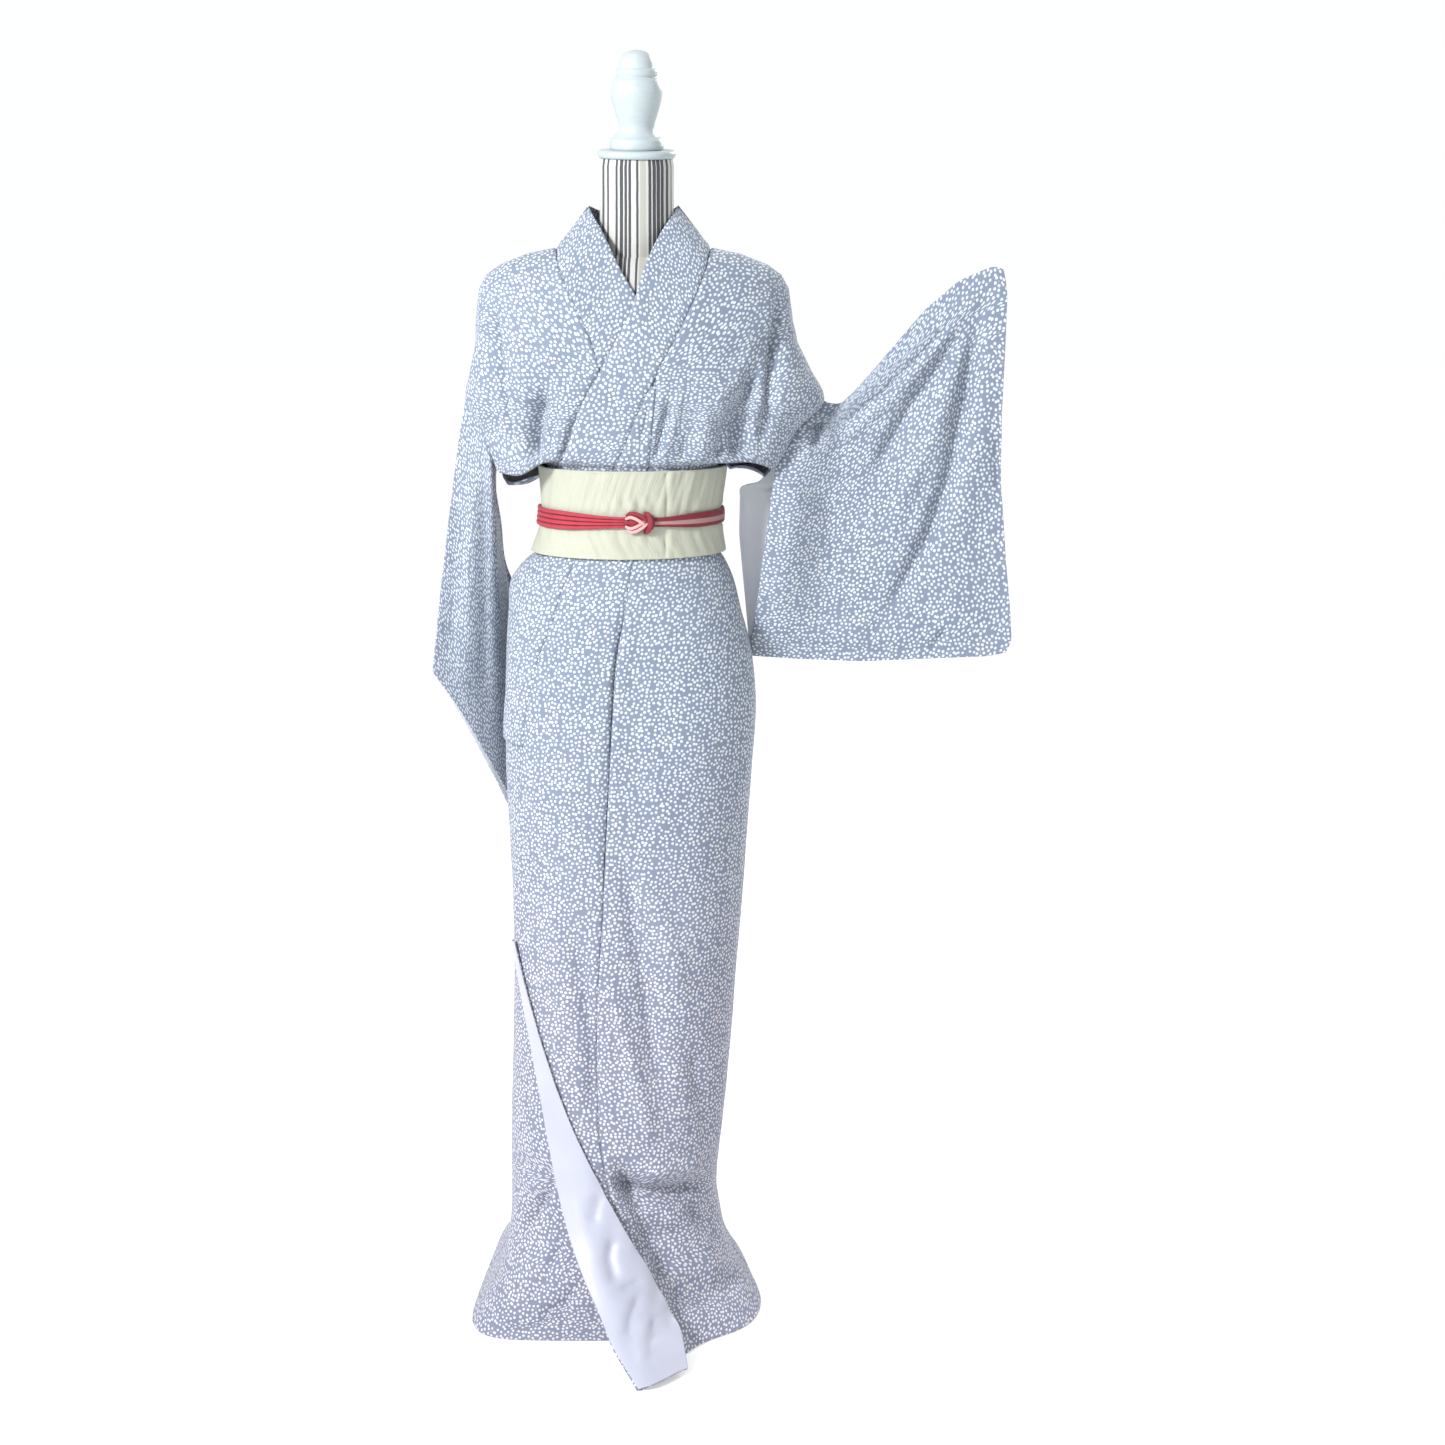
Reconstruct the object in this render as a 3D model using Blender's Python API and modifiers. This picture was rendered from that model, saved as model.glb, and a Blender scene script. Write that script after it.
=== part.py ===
"""A woman's lined kimono with its obi and cord, worn left over right on a limbless dress form.

Metres, +Z up, the front faces -Y, the wearer's left is +X. The origin is the centre of the foot's
underside. The worn cloth is a family of rings: each panel is a patch of it between two seams.
"""

import math
from collections import namedtuple

import bmesh
import bpy
from mathutils import Vector

# Cloth
CLOTH = 0.0016  # wall of the lined cloth
COLLAR_WALL = 0.0020
OBI_WALL = 0.0040
LINING_WALL = 0.0010
SEAM = 0.0007  # between the middles of two edges that are sewn together
COLLAR_GAP = 0.0011  # the same along the free part of the collar
REST = 0.0004  # between the faces of a piece and what it lies on
LAYER = 0.0046  # how far the upper front lies outside the under front

# Where the parts of the dress form are
NECK_RADIUS = 0.0485
NECK_FOOT = Vector((0.003, 0.012, 1.330))
NECK_TOP = Vector((0.0055, -0.014, 1.5665))
POLE_RADIUS = 0.0125
FOOT_RADIUS = 0.105
FOOT_HEIGHT = 0.022

# One ring of the worn cloth. mid and side are its heights at the front and at the side seams, centre
# and half give its place and half width, front and back its depths, square how boxy it is, and dome
# how far it has climbed from DOME_BASE to the shoulder line.
Ring = namedtuple("Ring", "mid side centre half front back square dome")
DOME_BASE = 1.330
DOME_HALF, DOME_FRONT, DOME_BACK = 0.2095, 0.1165, 0.112
RIDGE_MID = 1.510  # height of the shoulder line carried on to the middle of the neck

RINGS = [
    Ring(0.0018, 0.0018, -0.035, 0.189, 0.217, 0.196, 3.3, 0),
    Ring(0.012, 0.012, -0.035, 0.181, 0.206, 0.187, 3.2, 0),
    Ring(0.034, 0.034, -0.035, 0.1665, 0.185, 0.171, 3.0, 0),
    Ring(0.064, 0.064, -0.036, 0.1555, 0.163, 0.154, 2.7, 0),
    Ring(0.098, 0.098, -0.037, 0.1495, 0.147, 0.140, 2.5, 0),
    Ring(0.135, 0.135, -0.039, 0.1465, 0.137, 0.131, 2.4, 0),
    Ring(0.180, 0.180, -0.038, 0.147, 0.133, 0.128, 2.3, 0),
    Ring(0.240, 0.240, -0.034, 0.150, 0.132, 0.127, 2.3, 0),
    Ring(0.310, 0.310, -0.029, 0.152, 0.131, 0.126, 2.3, 0),
    Ring(0.390, 0.390, -0.024, 0.154, 0.130, 0.126, 2.3, 0),
    Ring(0.470, 0.470, -0.020, 0.1555, 0.129, 0.125, 2.3, 0),
    Ring(0.560, 0.560, -0.016, 0.159, 0.128, 0.125, 2.3, 0),
    Ring(0.660, 0.660, -0.014, 0.164, 0.128, 0.126, 2.3, 0),
    Ring(0.760, 0.760, -0.012, 0.169, 0.129, 0.128, 2.3, 0),
    Ring(0.850, 0.850, -0.009, 0.171, 0.129, 0.130, 2.3, 0),
    Ring(0.920, 0.920, -0.011, 0.166, 0.125, 0.128, 2.2, 0),
    Ring(0.975, 0.975, -0.016, 0.157, 0.120, 0.122, 2.2, 0),
    Ring(1.015, 1.015, -0.019, 0.150, 0.114, 0.116, 2.1, 0),
    Ring(1.040, 1.040, -0.015, 0.135, 0.107, 0.109, 2.0, 0),
    Ring(1.056, 1.056, -0.010, 0.1205, 0.101, 0.102, 2.0, 0),
    Ring(1.085, 1.085, -0.007, 0.1125, 0.098, 0.097, 2.0, 0),
    Ring(1.110, 1.110, -0.006, 0.1105, 0.0975, 0.096, 2.0, 0),
    Ring(1.145, 1.145, -0.004, 0.1135, 0.0985, 0.098, 2.0, 0),
    Ring(1.174, 1.174, -0.003, 0.1165, 0.100, 0.100, 2.0, 0),
    Ring(1.181, 1.182, -0.002, 0.138, 0.104, 0.105, 2.0, 0),
    Ring(1.188, 1.173, -0.001, 0.164, 0.108, 0.108, 2.0, 0),
    Ring(1.198, 1.162, 0.000, 0.186, 0.111, 0.110, 2.0, 0),
    Ring(1.209, 1.176, 0.002, 0.196, 0.113, 0.111, 2.0, 0),
    Ring(1.236, 1.216, 0.006, 0.212, 0.118, 0.113, 2.0, 0),
    Ring(1.262, 1.255, 0.0135, 0.2385, 0.120, 0.114, 2.0, 0),
    Ring(1.296, 1.294, 0.008, 0.2260, 0.119, 0.114, 2.0, 0),
] + [
    Ring(
        DOME_BASE + (RIDGE_MID - DOME_BASE) * rise,
        DOME_BASE,
        0.003 * (1 - rise),
        DOME_HALF + 0.004 * (1 - rise),
        DOME_FRONT * math.sqrt(1 - rise * rise),
        DOME_BACK * math.sqrt(1 - rise * rise),
        2.0,
        rise,
    )
    for rise in (0.0, 0.25, 0.48, 0.66, 0.80, 0.91, 0.98, 1.0)
]

# By ring height: how much wider the hem is towards the front than towards the back on the wearer's
# left and right, and how much squarer it is on the right
LEFT_TAPER = ((0.0018, 0.20), (0.034, 0.14), (0.098, 0.03), (0.135, 0.0), (1.600, 0.0))
RIGHT_TAPER = ((0.0018, 0.075), (0.034, 0.055), (0.098, 0.02), (0.135, 0.0), (1.600, 0.0))
RIGHT_CORNER = ((0.0018, 1.9), (0.034, 1.4), (0.064, 1.15), (0.098, 1.0), (1.600, 1.0))

# Shoulder line, from the middle out: distance from the middle, height
RIDGE = ((0.000, 1.510), (0.057, 1.490), (0.101, 1.4530), (0.140, 1.4450), (0.176, 1.4310),
         (0.194, 1.4180), (0.204, 1.4000), (0.2095, 1.3600))

# Edge of the body panels at the side, by ring height: side seam, open underarm, armhole
ARMHOLE = ((0.000, 90.0), (1.174, 90.0), (1.181, 86.0), (1.188, 81.0), (1.198, 77.0), (1.209, 76.0),
           (1.236, 81.0), (1.262, 90.0), (1.600, 90.0))

# Seams of the upper side, by ring height: distance from the middle as seen from the front
OKUMI_SEAM = ((0.000, 0.048), (0.035, 0.030), (0.067, 0.015), (0.100, -0.005), (0.145, -0.025),
              (0.205, -0.040), (0.250, -0.049), (0.350, -0.057), (0.450, -0.053), (0.550, -0.045),
              (0.700, -0.038), (0.790, -0.032), (0.917, -0.024), (1.049, -0.001), (1.176, 0.021),
              (1.262, 0.031), (1.296, 0.0338))
COLLAR_SEAM = ((0.784, -0.151), (0.885, -0.137), (0.941, -0.118), (0.974, -0.104), (1.015, -0.092),
               (1.050, -0.076), (1.110, -0.049), (1.176, -0.022), (1.217, -0.004), (1.250, 0.011),
               (1.284, 0.027), (1.316, 0.045), (1.343, 0.058), (1.384, 0.075), (1.431, 0.089),
               (1.470, 0.097), (1.510, 0.1015))
# The same seams of the under side, mirrored; below the obi they are hidden and lie further in
UNDER_OKUMI_SEAM = ((0.000, -0.060), (0.350, -0.050), (0.790, -0.030), (0.917, -0.022),
                    (1.049, 0.000), (1.176, 0.021), (1.262, 0.033), (1.296, 0.0385))
UNDER_COLLAR_SEAM = ((0.784, -0.108), (0.885, -0.100), (0.974, -0.084), (1.050, -0.064),
                     (1.110, -0.043), (1.176, -0.019), (1.217, -0.002), (1.250, 0.016),
                     (1.284, 0.034), (1.316, 0.046), (1.343, 0.053), (1.384, 0.070),
                     (1.431, 0.085), (1.470, 0.096), (1.510, 0.1015))
OKUMI_POINT = 1.290  # where both okumi end in a point on the collar seam
WAIST = 1.110  # under the obi, where each body panel is parted into its skirt and its bodice
UNDER_HIDDEN_EDGE = 0.108
COLLAR_END = 0.800

# Neckline on the back, by how far the ring has climbed: distance from the middle
BACK_NECK = ((0.00, 0.000), (0.60, 0.000), (0.66, 0.040), (0.80, 0.082), (0.91, 0.096), (1.00, 0.1015))

# Turned corner of the upper front, by height: its fold, its free edge, how far the cloth there is
# pulled forward of the rings, and how far its free edge stands off the cloth behind it
Turn = namedtuple("Turn", "height fold edge pull stand")
TURNED = [
    Turn(0.000, 0.008, 0.065, 0.128, 0.046),
    Turn(0.035, -0.029, 0.052, 0.106, 0.030),
    Turn(0.067, -0.050, 0.032, 0.088, 0.018),
    Turn(0.100, -0.071, 0.009, 0.070, 0.009),
    Turn(0.145, -0.091, -0.020, 0.050, 0.003),
    Turn(0.205, -0.108, -0.050, 0.028, 0.000),
    Turn(0.250, -0.117, -0.073, 0.017, 0.000),
    Turn(0.331, -0.132, -0.107, 0.005, 0.000),
    Turn(0.427, -0.149, -0.137, 0.000, 0.000),
    Turn(0.480, -0.160, -0.151, 0.000, 0.000),
    Turn(0.540, -0.169, -0.166, 0.000, 0.000),
]
TURN_TOP = 0.520
STAND_CURVE = 1.4
PULL_REACH, PULL_SPREAD = 0.055, 0.50  # how far aside the corner pulls the hem, and more of it higher up
TURN_SWELL = 0.0025  # how much the turned corner stands off the cloth under it
TURN_LIFT, FOLD_LIFT = 0.0045, 0.0008  # and how much more near the floor, and at its fold there

# Inner edge of the collar. Rows run from the middle of the back over the shoulder to the front: the
# outer seam's ring height and distance, then the inner edge. On the chest the edge lies on the rings.
NeckRow = namedtuple("NeckRow", "rise seam edge_x edge_y edge_z")
BACK_COLLAR = [
    NeckRow(0.60, 0.000, 0.000, 0.072, 1.494),
    NeckRow(0.63, 0.024, 0.018, 0.070, 1.495),
    NeckRow(0.70, 0.055, 0.036, 0.060, 1.499),
    NeckRow(0.80, 0.082, 0.049, 0.043, 1.503),
    NeckRow(0.91, 0.096, 0.056, 0.024, 1.506),
    NeckRow(0.99, 0.1013, 0.0585, 0.004, 1.507),
]
# Along the chest each row is the ring height of the seam and the place of the edge as seen from the
# front; the last rows also say how far forward it stands, the others lie on the rings.
ChestRow = namedtuple("ChestRow", "height edge_x edge_z edge_y")
UPPER_COLLAR = [
    ChestRow(0.800, -0.1790, 0.800, None),
    ChestRow(0.850, -0.1745, 0.850, None),
    ChestRow(0.920, -0.1630, 0.920, None),
    ChestRow(0.975, -0.1510, 0.975, None),
    ChestRow(1.015, -0.1400, 1.015, None),
    ChestRow(1.040, -0.1220, 1.040, None),
    ChestRow(1.056, -0.1130, 1.056, None),
    ChestRow(1.085, -0.1050, 1.085, None),
    ChestRow(1.145, -0.0970, 1.145, None),
    ChestRow(1.174, -0.0940, 1.174, None),
    ChestRow(1.198, -0.0860, 1.199, None),
    ChestRow(1.209, -0.0785, 1.217, None),
    ChestRow(1.236, -0.0640, 1.252, None),
    ChestRow(1.262, -0.0420, 1.290, None),
    ChestRow(1.296, -0.0220, 1.328, None),
    ChestRow(1.330, 0.0010, 1.372, None),
    ChestRow(1.375, 0.0180, 1.427, -0.088),
    ChestRow(1.416, 0.0315, 1.459, -0.060),
    ChestRow(1.449, 0.0425, 1.479, -0.042),
    ChestRow(1.474, 0.0512, 1.4915, -0.029),
    ChestRow(1.510, 0.0585, 1.504, -0.010),
]
UNDER_COLLAR = [
    ChestRow(0.800, -0.1400, 0.800, None),
    ChestRow(0.920, -0.1280, 0.920, None),
    ChestRow(1.015, -0.1120, 1.015, None),
    ChestRow(1.056, -0.0970, 1.056, None),
    ChestRow(1.174, -0.0780, 1.174, None),
    ChestRow(1.209, -0.0670, 1.217, None),
    ChestRow(1.262, -0.0450, 1.290, None),
    ChestRow(1.296, -0.0310, 1.328, None),
    ChestRow(1.330, -0.0160, 1.372, -0.1075),
    ChestRow(1.375, 0.0155, 1.427, -0.080),
    ChestRow(1.416, 0.0315, 1.459, -0.060),
    ChestRow(1.449, 0.0425, 1.479, -0.042),
    ChestRow(1.474, 0.0500, 1.490, -0.029),
    ChestRow(1.510, 0.0580, 1.503, -0.010),
]

# Largest folds of the front, as seen from the front: where each starts and ends, its half width and
# how far it stands out (+) or in (-)
Fold = namedtuple("Fold", "x0 z0 x1 z1 half depth")
FOLDS = [
    Fold(-0.196, 1.385, -0.176, 1.175, 0.012, -0.0100),
    Fold(-0.137, 1.270, -0.140, 1.175, 0.015, -0.0090),
    Fold(0.198, 1.375, 0.160, 1.185, 0.012, -0.0090),
    Fold(0.142, 1.290, 0.128, 1.180, 0.015, -0.0090),
    Fold(-0.080, 0.980, -0.100, 0.300, 0.030, 0.0020),
    Fold(0.080, 0.960, 0.070, 0.300, 0.035, 0.0025),
    Fold(0.010, 0.900, 0.000, 0.350, 0.030, -0.0020),
    Fold(-0.010, 0.135, 0.070, 0.118, 0.014, -0.0060),
    Fold(0.070, 0.118, 0.112, 0.128, 0.014, -0.0070),
]

# Hanging sleeve, along its depth from the top fold: plan place where it hangs, its upper edge there
# with the front and the back wall apart, and the heights of its upper and lower edges
Hang = namedtuple("Hang", "depth x y top_x front_y back_y top bottom")
HANGING = [
    Hang(0.000, -0.279, -0.015, -0.2262, 0.0000, 0.0000, 1.2530, 0.888),
    Hang(0.035, -0.248, 0.004, -0.2038, -0.0190, 0.0190, 1.2165, 0.832),
    Hang(0.070, -0.222, 0.024, -0.1962, -0.0240, 0.0240, 1.1950, 0.776),
    Hang(0.100, -0.203, 0.043, -0.1908, -0.0264, 0.0275, 1.1760, 0.730),
    Hang(0.113, -0.196, 0.052, -0.1900, -0.0200, 0.0330, 1.1640, 0.712),
    Hang(0.130, -0.187, 0.063, -0.1925, -0.0040, 0.0380, 1.1400, 0.687),
    Hang(0.160, -0.172, 0.084, -0.1935, 0.0350, 0.0550, 1.0850, 0.650),
    Hang(0.205, -0.137, 0.114, -0.1880, 0.0800, 0.0860, 1.0100, 0.594),
    Hang(0.250, -0.100, 0.134, -0.1450, 0.1200, 0.1200, 0.9300, 0.548),
    Hang(0.300, -0.054, 0.146, -0.0750, 0.1440, 0.1440, 0.8600, 0.504),
    Hang(0.340, -0.010, 0.152, -0.0200, 0.1520, 0.1520, 0.8200, 0.486),
]
HANG_ROWS = 10
HANG_ROOM = 0.0042  # how far each wall stands from their middle where the sleeve is open
HANG_TOP_GAP = 0.0012  # between its upper edge and the armhole

# Spread sleeve as seen from the front: corners and edges, as distance from the middle and height
SPREAD_TOP = ((0.252, 1.2540), (0.262, 1.2500), (0.277, 1.2505), (0.297, 1.270), (0.340, 1.320),
              (0.385, 1.373), (0.430, 1.411), (0.472, 1.429), (0.487, 1.425))
SPREAD_CUFF = ((0.487, 1.425), (0.492, 1.399), (0.491, 1.320), (0.489, 1.240), (0.492, 1.140),
               (0.501, 1.040), (0.510, 0.960), (0.511, 0.930), (0.504, 0.913))
SPREAD_BOTTOM = ((0.157, 0.908), (0.230, 0.904), (0.307, 0.901), (0.400, 0.905), (0.480, 0.908),
                 (0.504, 0.913))
SPREAD_FRONT_EDGE = ((0.252, 1.2540), (0.2160, 1.2145), (0.1925, 1.1765), (0.184, 1.130),
                     (0.178, 1.080), (0.168, 1.001), (0.160, 0.940), (0.157, 0.908))
SPREAD_BACK_EDGE = ((0.252, 1.2540), (0.2160, 1.2145), (0.1925, 1.1765), (0.1720, 1.1430),
                    (0.1440, 1.136), (0.1425, 1.070), (0.149, 1.000), (0.155, 0.935), (0.157, 0.908))
SPREAD_FOLDS = [
    Fold(0.470, 1.400, 0.250, 1.150, 0.020, 0.0070),
    Fold(0.420, 1.390, 0.290, 1.215, 0.014, -0.0070),
    Fold(0.478, 1.340, 0.330, 1.040, 0.022, -0.0045),
    Fold(0.270, 1.245, 0.238, 1.190, 0.014, -0.0140),
    Fold(0.240, 1.170, 0.310, 0.960, 0.022, 0.0040),
    Fold(0.480, 1.220, 0.430, 0.980, 0.022, 0.0040),
]
# How far its walls stand from its middle at the body side, by share of that side from the top down
SPREAD_ROOM = ((0.00, 0.000), (0.07, 0.010), (0.14, 0.0190), (0.26, 0.0275), (0.40, 0.036),
               (0.55, 0.040), (0.75, 0.032), (0.90, 0.012), (1.00, 0.000))
SPREAD_COLUMNS, SPREAD_ROWS = 12, 14
SPREAD_START = 0.006  # how far along from the armhole its cloth starts
SPREAD_BACK = 0.004  # how far its middle lies towards the front
CUFF_ROOM = 0.008  # how far its walls stand from its middle at the open cuff

OBI_LEVELS = (1.0545, 1.0700, 1.0850, 1.1100, 1.1450, 1.1690)
OBI_COLUMNS = 52
OBI_EASE = 0.0006  # between the obi and the collar under it, besides REST
OBI_LAP = 0.0050  # how much thicker the obi is where its end lies over its start
OBI_TURN = 372.0  # degrees that the obi runs round before its end is tucked
CORD_HEIGHT = 1.103
CORD_STRAND = 0.0027  # radius of one strand
CORD_HALF, CORD_THICK = 0.0098, 0.0044  # half width and thickness of the doubled cord
KNOT_SIZE = Vector((0.0175, 0.0078, 0.0145))  # half sizes of the knot
KNOT_OUT = 0.0086  # its middle outside the obi
KNOT_AT = 8.2  # where it sits, in degrees from the front
KNOT_ROOM, BAND_ROOM = 11.0, 9.0  # from there to where the strands and the doubled cord start


def mix(a, b, share):
    return a + (b - a) * share


def step(value, start, end):
    """0 before start, 1 after end, and a soft rise between."""
    share = min(1.0, max(0.0, (value - start) / (end - start)))
    return share * share * (3 - 2 * share)


def table_at(table, key):
    """A value from a table of (key, value) rows, straight between the rows."""
    if key <= table[0][0]:
        return table[0][1]
    for (k0, v0), (k1, v1) in zip(table, table[1:]):
        if key <= k1:
            return mix(v0, v1, (key - k0) / (k1 - k0))
    return table[-1][1]


def along(points, share):
    """The point at a share of the length of a line through the points."""
    points = [Vector(point) for point in points]
    lengths = [(b - a).length for a, b in zip(points, points[1:])]
    left = share * sum(lengths)
    for a, b, length in zip(points, points[1:], lengths):
        if left <= length:
            return a.lerp(b, left / length)
        left -= length
    return points[-1]


def ring_at(height):
    """The ring at a ring height, read between the rows of the table."""
    for low, high in zip(RINGS, RINGS[1:]):
        if height <= high.mid:
            share = max(0.0, (height - low.mid) / (high.mid - low.mid))
            return Ring(*(mix(a, b, share) for a, b in zip(low, high)))
    return RINGS[-1]


def ring_point(ring, degrees, out=0.0):
    """A point of the ring: 0 degrees is the front, 90 the wearer's left side, 180 the back."""
    angle = math.radians(degrees)
    s, c = math.sin(angle), math.cos(angle)
    square = ring.square * (table_at(RIGHT_CORNER, ring.mid) if s < 0 else 1)
    boxy = (abs(s) ** square + abs(c) ** square) ** (-1 / square)
    taper = table_at(LEFT_TAPER if s > 0 else RIGHT_TAPER, ring.mid)
    depth = ring.front if c >= 0 else ring.back
    x = ring.centre + ring.half * s * boxy * (1 + taper * c * boxy)
    y = -depth * c * boxy - math.copysign(SEAM / 2, c)
    z = mix(ring.mid, ring.side, s * s)
    if ring.dome > 0:
        z = DOME_BASE + ring.dome * (table_at(RIDGE, abs(x)) - DOME_BASE)
    away = Vector((s / ring.half, -c / max(depth, 0.02), 0)).normalized()
    lift = ring.dome * math.sqrt(max(0.0, 1 - away.x**2)) if ring.dome else 0.0
    return Vector((x, y, z)) + (away * (1 - lift * ring.dome) + Vector((0, 0, lift))) * out


def angle_at(ring, x):
    """The angle, from the front, where the ring lies at this distance from the middle."""
    low, high = -90.0, 90.0
    for _ in range(40):
        middle = (low + high) / 2
        if ring_point(ring, middle).x < x:
            low = middle
        else:
            high = middle
    return (low + high) / 2


def relief(x, z, folds=FOLDS):
    """How far the folds move the cloth out at a place as seen from the front."""
    moved = 0.0
    for fold in folds:
        run = Vector((fold.x1 - fold.x0, fold.z1 - fold.z0))
        place = Vector((x - fold.x0, z - fold.z0))
        share = place.dot(run) / run.length_squared
        aside = abs(place.x * run.y - place.y * run.x) / run.length
        ends = step(share, -0.10, 0.20) * (1 - step(share, 0.85, 1.10))
        moved += fold.depth * ends * math.exp(-((aside / fold.half) ** 2))
    return moved


def turned_at(height, column):
    return table_at([(row.height, getattr(row, column)) for row in TURNED], height)


def upper_out(ring, degrees):
    """How far outside the rings the upper front lies: nothing at its side seam and at the shoulder."""
    side = 1 - step(degrees, 62, 90)
    shoulder = 1 - step(ring.mid, 1.370, 1.480)
    return LAYER * side * shoulder


def front_point(ring, degrees, out, upper):
    """A point of a front panel, with its folds; the upper one is also pulled forward at the hem."""
    plain = ring_point(ring, degrees)
    moved = relief(plain.x, plain.z) * math.cos(math.radians(degrees)) ** 0.3
    over_pouch = 0.0
    if upper:
        over = upper_out(ring, degrees)
        over_pouch = over * step(ring.mid, 1.174, 1.181) * (1 - step(ring.mid, 1.20, 1.25))
        out = out + over + 0.3 * over_pouch
    point = ring_point(ring, degrees, out + moved)
    point.z -= 0.7 * over_pouch
    if upper and ring.mid < TURNED[-1].height:
        reach = PULL_REACH + PULL_SPREAD * ring.mid
        beyond = (point.x - turned_at(ring.mid, "fold")) / reach
        point.y -= turned_at(ring.mid, "pull") * math.exp(-(beyond**2))
    return point


def on_front(x, z, out, upper):
    """The point of a front panel at a place as seen from the front."""
    low, high = 0.0, RIDGE_MID
    for _ in range(30):
        height = (low + high) / 2
        ring = ring_at(height)
        if ring_point(ring, angle_at(ring, x)).z < z:
            low = height
        else:
            high = height
    ring = ring_at((low + high) / 2)
    return front_point(ring, angle_at(ring, x), out, upper)


def material(name, colour, roughness, metallic=0.0):
    made = bpy.data.materials.get(name) or bpy.data.materials.new(name)
    made.use_nodes = True
    shader = made.node_tree.nodes["Principled BSDF"]
    shader.inputs["Base Color"].default_value = (*colour, 1.0)
    shader.inputs["Roughness"].default_value = roughness
    shader.inputs["Metallic"].default_value = metallic
    return made


def add_object(name, mesh, finish):
    mesh.materials.append(finish)
    made = bpy.data.objects.new(name, mesh)
    bpy.data.collections["kimono_on_dress_form"].objects.link(made)
    return made


def grid_mesh(name, grid, close_rows=False, cap_ends=False, ridge=False):
    """A mesh of the quads between the rows of points; with ridge the last row is closed across."""
    shape = bmesh.new()
    rows = [[shape.verts.new(point) for point in row] for row in grid]
    for low, high in zip(rows, rows[1:]):
        pairs = list(zip(range(len(low)), range(1, len(low))))
        if close_rows:
            pairs.append((len(low) - 1, 0))
        for i, j in pairs:
            shape.faces.new((low[i], low[j], high[j], high[i]))
    if cap_ends:
        shape.faces.new(list(reversed(rows[0])))
    if cap_ends and not ridge:
        shape.faces.new(rows[-1])
    if ridge:
        top, count = rows[-1], len(rows[-1])
        for i in range(-count // 4, count // 4):
            across = (i, i + 1, count // 2 - 1 - i, count // 2 - i)
            shape.faces.new(list(dict.fromkeys(top[j % count] for j in across)))
    bmesh.ops.recalc_face_normals(shape, faces=shape.faces)
    mesh = bpy.data.meshes.new(name)
    shape.to_mesh(mesh)
    shape.free()
    mesh.shade_smooth()
    return mesh


def cloth(name, grid, finish, wall=CLOTH):
    """A wall of cloth: the open sheet of the grid with half its thickness on each side."""
    made = add_object(name, grid_mesh(name, grid), finish)
    thick = made.modifiers.new("wall", "SOLIDIFY")
    thick.thickness = wall
    thick.offset = 0.0
    return made


def moved_out(grid, out):
    """The points of a grid, each moved the way that the grid faces there."""
    made = []
    for i, row in enumerate(grid):
        above, below = grid[min(i + 1, len(grid) - 1)], grid[max(i - 1, 0)]
        moved = []
        for j, point in enumerate(row):
            across = row[min(j + 1, len(row) - 1)] - row[max(j - 1, 0)]
            moved.append(point + across.cross(above[j] - below[j]).normalized() * out)
        made.append(moved)
    return made


def facing(surface, u, v, reach=0.004):
    """The direction that a surface of two sizes faces at a place."""
    across = surface(u + reach, v) - surface(u - reach, v)
    up = surface(u, v + reach) - surface(u, v - reach)
    return across.cross(up).normalized()


def upper_surface(x, height):
    ring = ring_at(height)
    return front_point(ring, angle_at(ring, x), 0.0, True)


def panel_rows(low, high):
    """Ring heights of a panel from low to high, at the rows of the table."""
    inner = [ring.mid for ring in RINGS if low + 0.002 < ring.mid < high - 0.002]
    return [low] + inner + [high]


def body_heights(skirt):
    """Ring heights of the skirt, from the hem to under the obi, or of the bodice above it."""
    if skirt:
        return panel_rows(RINGS[0].mid, WAIST - SEAM / 2)
    return panel_rows(WAIST + SEAM / 2, RIDGE_MID)


def front_panel(name, side, columns, upper, skirt, finish):
    """The skirt or the bodice of a front panel; side is +1 on the wearer's left."""
    seam = OKUMI_SEAM if upper else UNDER_OKUMI_SEAM
    collar = COLLAR_SEAM if upper else UNDER_COLLAR_SEAM
    grid = []
    for height in body_heights(skirt):
        ring = ring_at(height)
        inner = table_at(collar if height > OKUMI_POINT else seam, height)
        gap = math.degrees(SEAM / 2 / ring.half)
        start = angle_at(ring, side * inner) + side * gap
        end = side * table_at(ARMHOLE, height)
        grid.append([
            front_point(ring, mix(start, end, i / columns), 0.0, upper) for i in range(columns + 1)
        ])
    return cloth(name, grid, finish)


def back_panel(name, side, columns, skirt, finish):
    """The skirt or the bodice of a back panel, between the side and the centre back seam."""
    grid = []
    for height in body_heights(skirt):
        ring = ring_at(height)
        gap = math.degrees(SEAM / 2 / ring.half)
        neck = table_at(BACK_NECK, ring.dome)
        middle = math.degrees(math.asin(neck / ring.half)) + gap
        start = 180.001 - table_at(ARMHOLE, height)
        grid.append([
            ring_point(ring, side * mix(start, 180 - middle, i / columns)) for i in range(columns + 1)
        ])
    return cloth(name, grid, finish)


def okumi_edge(height, upper):
    """Free side of an okumi as seen from the front: the collar seam, and below it its own edge."""
    if height >= COLLAR_SEAM[0][0]:
        return table_at(COLLAR_SEAM if upper else UNDER_COLLAR_SEAM, height)
    if not upper:
        ring = ring_at(height)
        return -min(UNDER_HIDDEN_EDGE, ring.centre + 0.86 * ring.half)
    if height <= TURNED[-1].height:
        return turned_at(height, "fold")
    return mix(TURNED[-1].fold, COLLAR_SEAM[0][1], step(height, TURNED[-1].height, COLLAR_SEAM[0][0]))


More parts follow.
